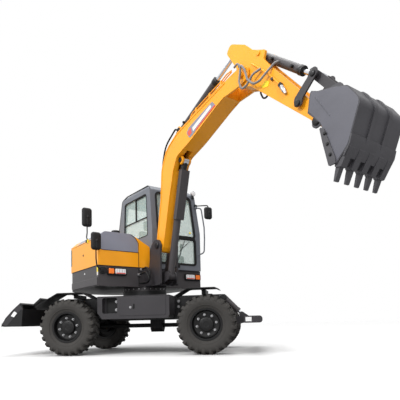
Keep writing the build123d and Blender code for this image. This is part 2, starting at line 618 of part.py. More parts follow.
def make_upper_frame():
    """The deck on its ring stub, with the bulkhead that carries the engine cover's hinge."""
    frame = plan_solid(0, DECK_BOTTOM, DECK_TOP)
    frame -= plan_solid(DECK_WALL, DECK_BOTTOM + 30, DECK_TOP - 25)
    frame -= plan_solid(120, DECK_TOP - 40, DECK_TOP + 5) & block(-1500, CAB_REAR - 60, -1000, 1000, 1200, 1400)
    frame -= block(TAIL_U - 100, WEIGHT_U + SEAT, -1000, 1000, DECK_BOTTOM - 100, DECK_TOP + 100)
    frame -= bar_z(0, 0, 110, DECK_BOTTOM - 5, DECK_BOTTOM + 40)
    stub = bar_z(0, 0, RING_RADIUS - 12, DECK_BOTTOM - 60, DECK_BOTTOM)
    frame += stub - bar_z(0, 0, RING_BORE - 60, DECK_BOTTOM - 70, DECK_BOTTOM + 5)
    frame += block(BULKHEAD_U, BULKHEAD_U + BULKHEAD_WALL, -BULKHEAD_HALF, BULKHEAD_HALF, DECK_TOP - 5,
                   BULKHEAD_TOP)
    for y in COVER_HINGE_Y:
        lug = bar_y(COVER_HINGE, HINGE_RADIUS, y, y + HINGE_WIDTH)
        lug += block(BULKHEAD_U, BULKHEAD_U + BULKHEAD_WALL, y, y + HINGE_WIDTH, BULKHEAD_TOP - 5,
                     COVER_HINGE[1])
        pin = bar_y(COVER_HINGE, HINGE_PIN, y, y + 2 * HINGE_WIDTH + 2 * SEAT)
        frame += both_sides(lug + pin)
    return frame


def make_boom_bracket():
    """Two plates ahead of the deck that carry the boom's foot and the boom cylinder."""
    front = UPPER_FRONT + SEAT
    rows = [(front, DECK_BOTTOM, 0), (745, DECK_BOTTOM, 30), (750, 1480, 60), (765, 1600, 40), (700, 1690, 50),
            (590, 1690, 40), (500, 1630, 60), (420, 1290, 60), (front, 1290, 0)]
    bracket = both_sides(slab_y(rows, BRACKET_INNER, BRACKET_INNER + BRACKET_PLATE))
    bracket += block(front, 620, -BRACKET_INNER - 5, BRACKET_INNER + 5, DECK_BOTTOM, 1040)
    bracket += block(front, UPPER_FRONT + 40, -BRACKET_INNER - 5, BRACKET_INNER + 5, DECK_BOTTOM, 1290)
    row = CYLINDERS["boom"]
    y = row["eye_half"] + RUN
    root = ((600, DECK_BOTTOM + 2), (600, 1210))
    lug = hull_strip(row["base"], 66, root, y, y + 26) + bar_y(row["base"], 66, y, y + 26)
    lug += block(560, 640, y, BRACKET_INNER + 5, DECK_BOTTOM + 2, 1210)
    bracket += both_sides(lug)
    bracket += axis_pin(row["base"], row["pin"], y + 26)
    bracket += axis_pin(BOOM_FOOT, PIN_RADIUS + 8, BRACKET_INNER + BRACKET_PLATE + 14)
    return bracket


def make_counterweight():
    """The rear weight with its two wings along the tail."""
    rear = block(TAIL_U - 200, WEIGHT_U, -1000, 1000, DECK_BOTTOM - 100, WEIGHT_TOP + 100)
    weight = plan_solid(0, DECK_BOTTOM, WEIGHT_TOP) & rear
    ring = plan_solid(0, DECK_TOP + SEAT, WEIGHT_TOP) - plan_solid(WING_WALL, DECK_BOTTOM, WEIGHT_TOP + 5)
    weight += ring & block(WEIGHT_U - 5, TAIL_FRONT, -1000, 1000, DECK_BOTTOM, WEIGHT_TOP + 100)
    return weight


def make_engine_block():
    return block(WEIGHT_U + 15, -925, -480, 380, DECK_BOTTOM + 30 + SEAT, 1620)


def make_engine_cover():
    """The hood over the engine, open below and towards the bulkhead, with its hinge knuckles."""
    cover = plan_solid(20, WEIGHT_TOP + RUN, 1760) & block(-1700, TAIL_FRONT, -1000, 1000, 1400, 1800)
    cover -= plan_solid(50, 1400, 1730) & block(-1700, TAIL_FRONT + 5, -1000, 1000, 1300, 1800)
    u, z = COVER_HINGE
    for y in COVER_HINGE_Y:
        start = y + HINGE_WIDTH + SEAT
        knuckle = bar_y(COVER_HINGE, HINGE_RADIUS, start, start + HINGE_WIDTH)
        knuckle += block(u - 40, u, start, start + HINGE_WIDTH, 1755, z - 2)
        knuckle -= bar_y(COVER_HINGE, HINGE_PIN + FIT, start - 5, start + HINGE_WIDTH + 5)
        cover += both_sides(knuckle)
    return cover


def hood_rows(z_low, z_high):
    return [(UPPER_RIGHT, z_low, 0), (UPPER_RIGHT, 1730, 40), (-830, 1825, 60), (-390, 1825, 80), (-60, 1650, 40),
            (-60, z_low, 0)]


def make_hood_solid():
    return slab_x(hood_rows(DECK_TOP + SEAT, 1825), CAB_REAR, UPPER_FRONT)


def make_hood_hollow():
    """The space under the hood, open below."""
    wall = HOOD_WALL
    rows = [(UPPER_RIGHT + wall, DECK_TOP - 5, 0), (UPPER_RIGHT + wall, 1720, 30), (-820, 1825 - wall, 50),
            (-400, 1825 - wall, 70), (-60 - wall, 1650 - wall, 30), (-60 - wall, DECK_TOP - 5, 0)]
    return slab_x(rows, CAB_REAR + wall, UPPER_FRONT - wall)


def make_hood():
    front = UPPER_FRONT
    solid = make_hood_solid()
    grey = slab_x([(-900, 1545, 30), (-270, 1545, 10), (-270, 1690, 30), (-390, 1900, 0), (-1100, 1900, 0),
                   (-1100, 1720, 0), (-930, 1720, 0)], -620, front + 5)
    upper = (solid & grey) - make_hood_hollow()
    lower = solid - grey - make_hood_hollow()
    return lower, upper


CAB_SIDE = [(CAB_REAR, DECK_TOP + SEAT, 0), (CAB_REAR, 2100, 60), (-700, 2640, 50), (-560, CAB_ROOF, 60),
            (180, CAB_ROOF - 10, 60), (270, 2610, 60), (CAB_FRONT, 1950, 200), (CAB_FRONT, DECK_TOP + SEAT, 0)]


CAB_FRONT_VIEW = [(CAB_RIGHT, DECK_TOP - 100, 0), (CAB_RIGHT, 2640, 50), (CAB_RIGHT + 60, CAB_ROOF, 40),
                  (770, CAB_ROOF, 60), (845, 2600, 60), (CAB_LEFT, 1950, 200), (CAB_LEFT, DECK_TOP - 100, 0)]


def inset_face(rows, inset):
    """The face of an outline, moved inwards."""
    face = plane_face(rows)
    return offset(face, -inset, kind=Kind.INTERSECTION) if inset else face


def cab_envelope(inset):
    """The cab's outer form, or its inner form when inset by the wall."""
    across = Plane(origin=(0, 1000, 0), x_dir=(1, 0, 0), z_dir=(0, -1, 0))
    forward = Plane(origin=(CAB_REAR - 50, 0, 0), x_dir=(0, 1, 0), z_dir=(1, 0, 0))
    side_view = extrude(across * inset_face(CAB_SIDE, inset), 1200)
    front_view = extrude(forward * inset_face(CAB_FRONT_VIEW, inset), CAB_FRONT - CAB_REAR + 100)
    return side_view & front_view


# Windows. Columns: name, outline rows, wall axis, wall range.
WINDSCREEN_TOP = [(70, 1870, 40), (790, 1870, 40), (740, 2560, 60), (70, 2560, 60)]
WINDSCREEN_LOW = [(70, 1410, 40), (800, 1410, 40), (795, 1830, 30), (70, 1830, 30)]
REAR_WINDOW = [(80, 1840, 50), (790, 1840, 50), (730, 2540, 50), (80, 2540, 50)]
RIGHT_WINDOW = [(-640, 1860, 40), (190, 1860, 40), (160, 2550, 50), (-600, 2550, 50)]
DOOR_WINDOW = [(-560, 1440, 40), (200, 1440, 40), (190, 2530, 60), (-560, 2530, 60)]
DOOR_OUTLINE = [(-640, 1345, 30), (270, 1345, 30), (262, 1950, 40), (215, 2590, 50), (-640, 2590, 50)]


DOOR_AXIS = (-652, 921)
DOOR_HINGES = (1480, 1840)
DOOR_HINGE_HEIGHT = 34
DOOR_HINGE_RADIUS = 11


def door_block(inset):
    """The door's outline moved inwards, through the whole left wall."""
    plane = Plane(origin=(0, 1000, 0), x_dir=(1, 0, 0), z_dir=(0, -1, 0))
    return extrude(plane * offset(plane_face(DOOR_OUTLINE), -inset), 300)


def door_hinge(z, level, forward):
    """A hinge knuckle and its leaf: level 0 is the lower knuckle, forward 1 is on the door."""
    u, y = DOOR_AXIS
    low = z + level * (DOOR_HINGE_HEIGHT + SEAT)
    high = low + DOOR_HINGE_HEIGHT
    knuckle = bar_z(u, y, DOOR_HINGE_RADIUS, low, high)
    near, far = sorted((u, u + forward * 60))
    knuckle += block(near, far, CAB_LEFT + 2, y - 2, low, high)
    near, far = sorted((u + forward * 30, u + forward * 60))
    knuckle += block(near, far, CAB_LEFT - 4, CAB_LEFT + 3, low, high)
    if level:
        knuckle -= bar_z(u, y, HINGE_PIN + FIT, low - 5, high + 5)
    return knuckle


def make_cab():
    """The cab shell, its door, its fixed glass and the door's glass."""
    shell = cab_envelope(0) - cab_envelope(CAB_WALL)
    right_cut = slab_y(RIGHT_WINDOW, CAB_RIGHT - 20, CAB_RIGHT + 120)
    top_cut = slab_x(WINDSCREEN_TOP, 150, CAB_FRONT + 60)
    low_cut = slab_x(WINDSCREEN_LOW, 200, CAB_FRONT + 60)
    rear_cut = slab_x(REAR_WINDOW, CAB_REAR - 60, -560)
    solid = shell - right_cut - top_cut - low_cut - rear_cut
    side = block(-1000, 500, 600, 1100, 1200, 2800)
    window_cut = slab_y(DOOR_WINDOW, 700, 1000)
    split = cab_envelope(CAB_WALL / 2)
    outer = (shell - split) & side & door_block(DOOR_GAP)
    inner = shell & split & side & door_block(DOOR_GAP + DOOR_REBATE)
    door = outer + inner - window_cut
    solid -= slab_y(DOOR_OUTLINE, 700, 1000)
    for z in DOOR_HINGES:
        solid += door_hinge(z, 0, -1)
        door += door_hinge(z, 1, 1)
        solid += bar_z(*DOOR_AXIS, HINGE_PIN, z, z + 2 * DOOR_HINGE_HEIGHT + SEAT)
    middle = cab_envelope(CAB_WALL / 2 - GLASS / 2) - cab_envelope(CAB_WALL / 2 + GLASS / 2)
    glass = []
    for cut in (right_cut, top_cut, low_cut, rear_cut):
        glass.append(middle & cut)
    door_glass = middle & window_cut
    fixed = glass[0] + glass[1] + glass[2] + glass[3]
    return solid, door, fixed, door_glass


def make_seat():
    seat = block(-520, -60, 190, 690, 1480, 1590)
    seat += block(-560, -430, 190, 690, 1560, 2120)
    seat += block(-450, -130, 260, 620, DECK_TOP + CAB_WALL + SEAT, 1490)
    return seat


def make_console():
    floor = DECK_TOP + CAB_WALL + SEAT
    console = block(-400, 20, 90, 180, floor, 1640) + block(-400, 20, 700, 790, floor, 1640)
    return console + block(110, 190, 400, 480, floor, 1800)


def make_boom():
    rows = [(600, 1600, 60), (735, 2280, 150), (770, 2690, 150), (905, 2960, 150), (1180, 3120, 150),
            (2300, 3356, 200), (2560, 3390, 80), (2660, 3310, 60), (2650, 3200, 60), (2520, 3165, 60),
            (2200, 3160, 200), (1570, 2905, 200), (1190, 2790, 100), (1090, 2620, 150), (976, 2290, 150),
            (782, 1560, 40), (735, 1500, 40), (650, 1500, 40)]
    boom = slab_y(rows, -BOOM_HALF, BOOM_HALF)
    hollow = [(780, 1750, 20), (860, 2290, 150), (900, 2640, 150), (1020, 2880, 120), (1240, 3060, 120),
              (2180, 3260, 20), (2180, 3200, 20), (1540, 2960, 150), (1130, 2830, 100), (1020, 2640, 100),
              (950, 2290, 100), (810, 1750, 20)]
    boom -= slab_y(hollow, -BOOM_HALF + BOOM_WALL, BOOM_HALF - BOOM_WALL)
    slot = slab_y([(2255, 2900, 0), (2900, 2900, 0), (2900, 3600, 0), (2255, 3600, 0)],
                  -ARM_HALF - RUN, ARM_HALF + RUN)
    boom -= slot
    row = CYLINDERS["boom"]
    y = row["eye_half"] + RUN
    lug = hull_strip(row["eye"], 62, ((1080, 2600), (1420, 2880)), y, y + 28) + bar_y(row["eye"], 62, y, y + 28)
    boom += both_sides(lug)
    boom -= bar_y(row["eye"], BELLY_ROOM, -y, y)
    row = CYLINDERS["arm"]
    y = row["eye_half"] + RUN
    lug = hull_strip(row["base"], 48, ((1080, 3060), (1240, 3120)), y, y + 24) + bar_y(row["base"], 48, y, y + 24)
    boom += both_sides(lug)
    boom += axis_pin(row["base"], row["pin"], y + 24)
    boom -= bar_y(BOOM_FOOT, PIN_RADIUS + 8 + FIT, -BOOM_HALF - 5, BOOM_HALF + 5)
    boom += bar_y(BOOM_TIP, PIN_RADIUS, -BOOM_HALF - 16, BOOM_HALF + 16)
    return boom


def make_arm():
    rows = [(2275, 3690, 40), (2345, 3775, 60), (2590, 3625, 30), (2720, 3485, 40), (2905, 3385, 20),
            (2870, 3300, 20), (2950, 3190, 100), (3340, 2715, 0), (3590, 2350, 55), (3560, 2245, 55),
            (3440, 2370, 150), (2660, 3095, 60), (2470, 3170, 80), (2430, 3300, 60), (2440, 3420, 60)]
    plate = slab_y(rows, 65, ARM_HALF)
    arm = both_sides(plate)
    core = [(2470, 3350, 60), (2640, 3330, 60), (2890, 3215, 60), (3340, 2690, 0), (3585, 2350, 50), (3555, 2250, 50),
            (3440, 2372, 150), (2660, 3100, 60), (2475, 3175, 60)]
    arm += slab_y(core, -66, 66)
    arm -= bar_y(BOOM_TIP, PIN_RADIUS + FIT, -ARM_HALF - 5, ARM_HALF + 5)
    arm += axis_pin(BUCKET_CYLINDER_BASE, SMALL_PIN, ARM_HALF + 10)
    arm += axis_pin(ROCKER_FOOT, SMALL_PIN, ROCKER_INNER + ROCKER_PLATE + 12)
    arm += axis_pin(ARM_TIP, PIN_RADIUS, EAR_INNER + EAR_PLATE + 12)
    return arm


def make_rockers():
    (ax, az), (bx, bz) = ROCKER_FOOT, ROCKER_TOP
    rows = [(ax - 40, az - 20, 25), (ax - 45, az + 60, 60), (bx - 60, bz - 10, 40), (bx - 30, bz + 55, 30),
            (bx + 45, bz + 50, 30), (bx + 48, bz - 20, 30), (bx - 30, bz - 90, 60), (ax + 60, az + 30, 40),
            (ax + 40, az - 40, 25)]
    plate = slab_y(rows, ROCKER_INNER, ROCKER_INNER + ROCKER_PLATE)
    plate -= bar_y(ROCKER_FOOT, SMALL_PIN + FIT, ROCKER_INNER - 5, ROCKER_INNER + ROCKER_PLATE + 5)
    plate += bar_y(ROCKER_TOP, SMALL_PIN, LINK_INNER - 15, ROCKER_INNER + ROCKER_PLATE + 10)
    return both_sides(plate)


def make_bucket_link():
    length = reach_of(ROCKER_TOP, BUCKET_EAR)
    angle = angle_of(ROCKER_TOP, BUCKET_EAR)
    half = 42
    rows = [(-half, -half, 38), (length + half, -half, 38), (length + half, half, 38), (-half, half, 38)]
    plate = slab_y(rows, LINK_INNER, LINK_INNER + LINK_PLATE)
    plate = Pos(ROCKER_TOP[0], 0, ROCKER_TOP[1]) * Rot(0, -angle, 0) * plate
    link = both_sides(plate)
    link -= bar_y(ROCKER_TOP, SMALL_PIN + FIT, -200, 200)
    link += bar_y(BUCKET_EAR, 34, -LINK_INNER - LINK_PLATE, LINK_INNER + LINK_PLATE)
    return link


# Bucket teeth, side cutters and wear strips, as outlines in XZ with corner radii
LINK_NOTCH_END = 3745
TOOTH_COUNT = 5
TOOTH_EDGE = 45
TOOTH_HALF = 27
TOOTH_ROWS = [(3880, 1760, 0), (3904, 1748, 0), (3876, 1690, 0), (3834, 1604, 0), (3818, 1606, 0),
              (3838, 1690, 0), (3852, 1742, 0)]
ADAPTER_HALF = 38
ADAPTER_ROWS = [(3965, 1858, 0), (4000, 1860, 25), (3960, 1795, 0), (3902, 1705, 15), (3842, 1718, 12),
                (3850, 1748, 0), (3870, 1752, 0)]
SIDE_CUTTER_PLATE = 14
SIDE_CUTTER_ROWS = [(3722, 2110, 20), (3770, 2080, 20), (3868, 1790, 0), (3868, 1742, 0), (3800, 1738, 10),
                    (3750, 1960, 30)]
WEAR_HALF = 22
WEAR_ROWS = [(3902, 2388, 0), (4022, 2352, 60), (4128, 2190, 90), (4003, 1870, 0), (3990, 1868, 0),
             (4104, 2190, 90), (4006, 2342, 60), (3894, 2384, 0)]


def make_bucket():
    outline = [(3600, 2290, 0), (3640, 2480, 20), (3720, 2440, 0), (3890, 2400, 60), (4010, 2350, 60),
               (4112, 2190, 90), (3985, 1860, 0), (3868, 1740, 0), (3790, 1985, 40), (3725, 2150, 30)]
    side = slab_y(outline, BUCKET_HALF - BUCKET_WALL, BUCKET_HALF)
    bucket = both_sides(side)
    shell_outer = [(3640, 2480, 20), (3720, 2440, 0), (3890, 2400, 60), (4010, 2350, 60), (4112, 2190, 90),
                   (3985, 1860, 0), (3868, 1740, 0), (3858, 1752, 0), (3966, 1868, 0), (4086, 2190, 75),
                   (3996, 2328, 50), (3884, 2380, 55), (3716, 2418, 0), (3650, 2450, 10)]
    bucket += slab_y(shell_outer, -BUCKET_HALF + 1, BUCKET_HALF - 1)
    bucket -= block(3600, LINK_NOTCH_END, -EAR_INNER, EAR_INNER, 2380, 2600)
    ear = slab_y([(3470, 2300, 50), (3500, 2240, 50), (3600, 2260, 0), (3730, 2440, 0), (3860, 2400, 0),
                  (3805, 2560, 45), (3700, 2560, 45), (3560, 2380, 40)], EAR_INNER, EAR_INNER + EAR_PLATE)
    ear -= bar_y(ARM_TIP, PIN_RADIUS + FIT, EAR_INNER - 5, EAR_INNER + EAR_PLATE + 5)
    ear += bar_y(BUCKET_EAR, 38, EAR_INNER, EAR_INNER + EAR_PLATE + 12)
    bucket += both_sides(ear)
    cutter = slab_y(SIDE_CUTTER_ROWS, BUCKET_HALF - 4, BUCKET_HALF + SIDE_CUTTER_PLATE)
    bucket += both_sides(cutter)
    tooth = slab_y(TOOTH_ROWS, -TOOTH_HALF, TOOTH_HALF) + slab_y(ADAPTER_ROWS, -ADAPTER_HALF, ADAPTER_HALF)
    pitch = 2 * (BUCKET_HALF - TOOTH_EDGE) / (TOOTH_COUNT - 1)
    for i in range(TOOTH_COUNT):
        bucket += Pos(0, TOOTH_EDGE - BUCKET_HALF + i * pitch, 0) * tooth
    for y in (-BUCKET_HALF / 3, BUCKET_HALF / 3):
        bucket += slab_y(WEAR_ROWS, y - WEAR_HALF, y + WEAR_HALF)
    return bucket


def make_rod_guard():
    """A channel on the boom cylinder's rod eye that covers the rod from ahead."""
    row = CYLINDERS["boom"]
    angle = angle_of(row["base"], row["eye"])
    length = reach_of(row["base"], row["eye"])
    inner = row["barrel"] + GLAND_EXTRA + RUN
    outer = inner + GUARD_WALL
    start = row["length"] - GUARD_LAP
    end = length - GUARD_GAP
    channel = block(start, end, -outer, outer, -outer, 10)
    channel -= block(start - 5, length, -inner, inner, -inner, 15)
    channel += block(end - GUARD_END_WALL, end, -inner, inner, -outer, 10)
    placed = Pos(row["base"][0], 0, row["base"][1]) * Rot(0, -angle, 0) * channel
    return placed - cylinder_rod(row)


# Mirrors. Columns: centre, half width, half height, turn about Z, stalk points, foot.
MIRRORS = [
    ((-200, -905, 2130), 80, 150, 40, [(-200, -905, 2130), (-200, -905, 1900), (-140, -895, 1745)]),
    ((345, -985, 1650), 75, 130, 40, [(330, -985, 1650), (330, -985, 1400), (265, -870, 1240)]),
    ((400, 1045, 2320), 72, 105, -10, [(400, 1045, 2400), (400, 1045, 2452), (245, 820, 2450)]),
]
MIRROR_DEPTH = 34


def make_mirrors():
    """Three mirrors on bent stalks: two at the hood, one at the cab's left front pillar."""
    mirrors = None
    for centre, half_width, half_height, turn, points in MIRRORS:
        body = Box(MIRROR_DEPTH, 2 * half_width, 2 * half_height)
        body = fillet(body.edges().filter_by(Axis.X), 18)
        one = Pos(*centre) * Rot(0, 0, turn) * body
        one += tube(points, 10, 40)
        mirrors = one if mirrors is None else mirrors + one
    return mirrors - cab_envelope(0) - make_hood_solid() - plan_solid(0, DECK_BOTTOM, DECK_TOP)


RAIL_POINTS = [(322, 845, 2400), (380, 905, 2385), (385, 958, 2060), (385, 960, 1860), (380, 950, 1625),
               (322, 880, 1592)]


def make_handrails():
    """The grab rail at the cab's left front pillar."""
    return tube(RAIL_POINTS, 11, 40) - cab_envelope(0)


# Lamps. Columns: low Y, high Y, low Z, high Z, depth.
LAMPS = [(-790, -460, 1170, 1290, 45), (590, 920, 1150, 1260, 45)]


def make_lamps():
    """The two front lamp clusters and the working light at the cab's roof."""
    face = UPPER_FRONT + SEAT
    lamps = block(270, 330, 745, 835, 2600, 2672) - cab_envelope(0)
    for y_low, y_high, z_low, z_high, depth in LAMPS:
        lamps += slab_x([(y_low, z_low, 30), (y_high, z_low, 30), (y_high, z_high, 30), (y_low, z_high, 30)],
                        face, face + depth)
    return lamps


NODES = {}


def add(name, shape, upper):
    NODES[name] = (shape, upper)


def build_all():
    add("chassis_frame", make_chassis_frame(), False)
    add("slew_ring", make_slew_ring(), False)
    add("side_boxes", make_side_boxes(), False)
    add("fenders", make_fenders(), False)
    add("driveline", make_driveline(), False)
    add("steered_axle", make_steered_axle(), False)
    add("rigid_axle", make_rigid_axle(), False)
    add("steering_rod", make_steering_rod(), False)
    tyre = make_tyre()
    rim = make_rim()
    for tag, side in (("left", 1), ("right", -1)):
        add("knuckle_" + tag, make_knuckle(side), False)
        for axle, x in (("steered", STEERED_X), ("rigid", RIGID_X)):
            add("tyre_" + axle + "_" + tag, place_wheel(tyre, x, side), False)
            add("rim_" + axle + "_" + tag, place_wheel(rim, x, side), False)
    add("dozer_blade", make_blade(), False)
    add("stabilizer", make_stabilizer(), False)
    add("upper_frame", make_upper_frame(), True)
    add("boom_bracket", make_boom_bracket(), True)
    add("counterweight", make_counterweight(), True)
    add("engine_block", make_engine_block(), True)
    add("engine_cover", make_engine_cover(), True)
    lower, upper = make_hood()
    add("hood_lower", lower, True)
    add("hood_upper", upper, True)
    cab, door, glass, door_glass = make_cab()
    add("cab_shell", cab, True)
    add("cab_door", door, True)
    add("cab_glass", glass, True)
    add("door_glass", door_glass, True)
    add("seat", make_seat(), True)
    add("console", make_console(), True)
    add("boom", make_boom(), True)
    add("arm", make_arm(), True)
    add("rockers", make_rockers(), True)
    add("bucket_link", make_bucket_link(), True)
    add("bucket", make_bucket(), True)
    add("boom_rod_guard", make_rod_guard(), True)
    add("mirrors", make_mirrors(), True)
    add("handrails", make_handrails(), True)
    add("lamps", make_lamps(), True)
    for name, row in CYLINDERS.items():
        upper_one = name in ("boom", "arm", "bucket")
        add(name + "_cylinder_barrel", cylinder_barrel(row), upper_one)
        add(name + "_cylinder_rod", cylinder_rod(row), upper_one)


def write_all():
    os.makedirs("parts", exist_ok=True)
    for name, (shape, upper) in NODES.items():
        placed = Rot(0, 0, -SLEW_AT_REST) * shape if upper else shape
        export_step(placed, "parts/" + name + ".step")


build_all()
write_all()
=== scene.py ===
import math

import bmesh
import bpy
from mathutils import Matrix, Vector


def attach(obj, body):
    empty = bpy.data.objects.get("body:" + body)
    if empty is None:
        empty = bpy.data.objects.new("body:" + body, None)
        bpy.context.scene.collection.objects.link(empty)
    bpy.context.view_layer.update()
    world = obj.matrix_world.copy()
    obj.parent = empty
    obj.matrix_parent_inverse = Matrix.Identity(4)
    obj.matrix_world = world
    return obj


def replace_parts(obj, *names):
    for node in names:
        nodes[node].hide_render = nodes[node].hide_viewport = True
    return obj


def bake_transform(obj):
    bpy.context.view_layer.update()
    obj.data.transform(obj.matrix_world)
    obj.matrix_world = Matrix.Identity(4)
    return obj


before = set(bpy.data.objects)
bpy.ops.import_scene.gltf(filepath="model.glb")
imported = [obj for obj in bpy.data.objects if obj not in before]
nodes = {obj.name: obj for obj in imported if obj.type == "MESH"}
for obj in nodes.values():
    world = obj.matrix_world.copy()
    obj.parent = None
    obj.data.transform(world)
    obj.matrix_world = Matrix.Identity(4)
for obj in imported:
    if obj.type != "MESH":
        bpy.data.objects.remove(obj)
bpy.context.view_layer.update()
scene = bpy.context.scene

# The upper structure is drawn facing +X and stands turned by this much about Z
SLEW = math.radians(45.4)
UPPER = Matrix.Rotation(-SLEW, 4, "Z")
STILL = Matrix.Identity(4)

# Camera: place, yaw, pitch and roll, lens and the pixel on its axis, fitted to the photograph
CAMERA_PLACE = (1.769, -6.497, 0.448)
CAMERA_TURN = (-0.1677, 0.06825, -0.02237)
FOCAL_PIXELS = 410.69
PICTURE = 400
SENSOR = 36
AXIS_PIXEL = (185.37, 294.37)

# Wheels
TRACK = 1.534
AXLE_Z = 0.415
WHEELS = [("steered", 1.097), ("rigid", -0.943)]
SIDES = [("left", 1), ("right", -1)]
LUGS = 24
LUG_RADIUS = 0.4
LUG_FOOT = 1.12
NUTS = 8
NUT_CIRCLE = 0.1375
HUB_NUT_CIRCLE = 0.076

# Upper structure: faces, cab and round tail
FRONT_FACE = 0.28
SKIRT_SIDE = -0.93
SKIRT_TOP = 1.31
TRIM = 0.003
SEAM = 0.0042
CAB_LOW = 1.95
CAB_FLOOR = 1.362
SEAT_MIDDLE = 0.44
STEERING_WHEEL = (0.09, SEAT_MIDDLE, 1.83)
TAIL_END = -1.5
TAIL_RADIUS = 0.9678
TAIL_MIDDLE = TAIL_END + TAIL_RADIUS
LOUVRES = 6
LOUVRE_STEP = 0.018

# Equipment: half widths, then x and z of the pins
BOOM_SIDE = 0.12
ARM_SIDE = 0.095
BUCKET_SIDE = 0.337
FOOT_PIN = (0.68, 1.6)
TIP_PIN = (2.55, 3.27)
BUCKET_PIN = (3.53, 2.31)
BUCKET_EAR = (3.75, 2.5)
ROCKER_FOOT = (3.34, 2.56)
ROCKER_TOP = (3.53, 2.77)
BOOM_BASE = (0.78, 1.14)
BOOM_EYE = (1.205, 2.745)
ARM_BASE = (1.165, 3.205)
ARM_EYE = (2.34, 3.7)
BUCKET_BASE = (2.8, 3.4)

# Undercarriage
BOX_SIDE = 0.8
BOX_TOP = 0.852
BLADE_SIDE = 0.928
RING_BOLTS = 24
RING_BOLT_CIRCLE = 0.339

# Floor, which fades towards the background between two distances, and sky, brightest on one side
FLOOR_HALF = 60
FLOOR_BOUNCE = 0.33
FLOOR_NEAR = (2.5, 0.7)
FLOOR_FAR = (7, 0.98)
SKY_SIDE = (-0.52, -0.35, 0.78)
SKY_LOW = 0.15
SKY_HIGH = 1.3


# Materials

MATERIAL = {}


def linear(screen):
    """Linear colour from 8-bit screen values."""
    shares = [value / 255 for value in screen]
    return [v / 12.92 if v <= 0.04045 else ((v + 0.055) / 1.055) ** 2.4 for v in shares]


def new_material(name, colour, rough, metal=0.0):
    """A look: its material, and a shader with a colour, roughness and metal of its own."""
    material = bpy.data.materials.new(name)
    material.use_nodes = True
    tree = material.node_tree
    shader = tree.nodes["Principled BSDF"]
    shader.inputs["Base Color"].default_value = (*colour, 1)
    shader.inputs["Roughness"].default_value = rough
    shader.inputs["Metallic"].default_value = metal
    MATERIAL[name] = material
    return tree, shader


def add_node(tree, kind, **values):
    """A shader node with values on its inputs; an underscore in a name stands for a space."""
    node = tree.nodes.new("ShaderNode" + kind)
    for name, value in values.items():
        node.inputs[name.replace("_", " ")].default_value = value
    return node


def wire(tree, *links):
    """Links between nodes. Columns: node, its output, next node, its input."""
    for source, output, target, into in links:
        tree.links.new(source.outputs[output], target.inputs[into])


def drift(tree, shader, ends, **values):
    """Colour that drifts by noise in object space. Columns of its two ends: share of the noise, colour."""
    place = add_node(tree, "TexCoord")
    noise = add_node(tree, "TexNoise", **values)
    ramp = add_node(tree, "ValToRGB")
    for element, (share, colour) in zip(ramp.color_ramp.elements, ends):
        element.position = share
        element.color = (*colour, 1)
    wire(tree, (place, "Object", noise, "Vector"), (noise, "Fac", ramp, "Fac"),
         (ramp, "Color", shader, "Base Color"))
    return place, noise


def add_surface(name, slot, screen, spread, scale, bump, bump_scale, rough_low, rough_high, rounding=0,
                coat=0, metal=0):
    """A look with drifting colour, varied roughness, fine relief and softened edges."""
    colour = linear(screen)
    tree, shader = new_material(name, colour, (rough_low + rough_high) / 2, metal)
    ends = ((0.3, [c * (1 - spread) for c in colour]), (0.7, [min(c * (1 + spread), 1) for c in colour]))
    place, noise = drift(tree, shader, ends, Scale=scale, Detail=6)
    rough = add_node(tree, "MapRange", To_Min=rough_low, To_Max=rough_high)
    fine = add_node(tree, "TexNoise", Scale=bump_scale, Detail=4)
    relief = add_node(tree, "Bump", Strength=bump, Distance=0.002)
    wire(tree, (noise, "Fac", rough, "Value"), (rough, "Result", shader, "Roughness"),
         (place, "Object", fine, "Vector"), (fine, "Fac", relief, "Height"),
         (relief, "Normal", shader, "Normal"))
    if rounding:
        edge = add_node(tree, "Bevel", Radius=rounding)
        edge.samples = 4
        wire(tree, (edge, "Normal", relief, "Normal"))
    shader.inputs["Coat Weight"].default_value = coat
    shader.inputs["Specular IOR Level"].default_value = 0.5 if metal else 0.32


def add_clear(name, screen, rough, alpha):
    """A pane or lens of see-through plastic or glass whose tint drifts a little."""
    colour = linear(screen)
    tree, shader = new_material(name, colour, rough)
    ends = ((0, [c * 0.94 for c in colour]), (1, [min(c * 1.04, 1) for c in colour]))
    drift(tree, shader, ends, Scale=1.5)
    shader.inputs["Alpha"].default_value = alpha


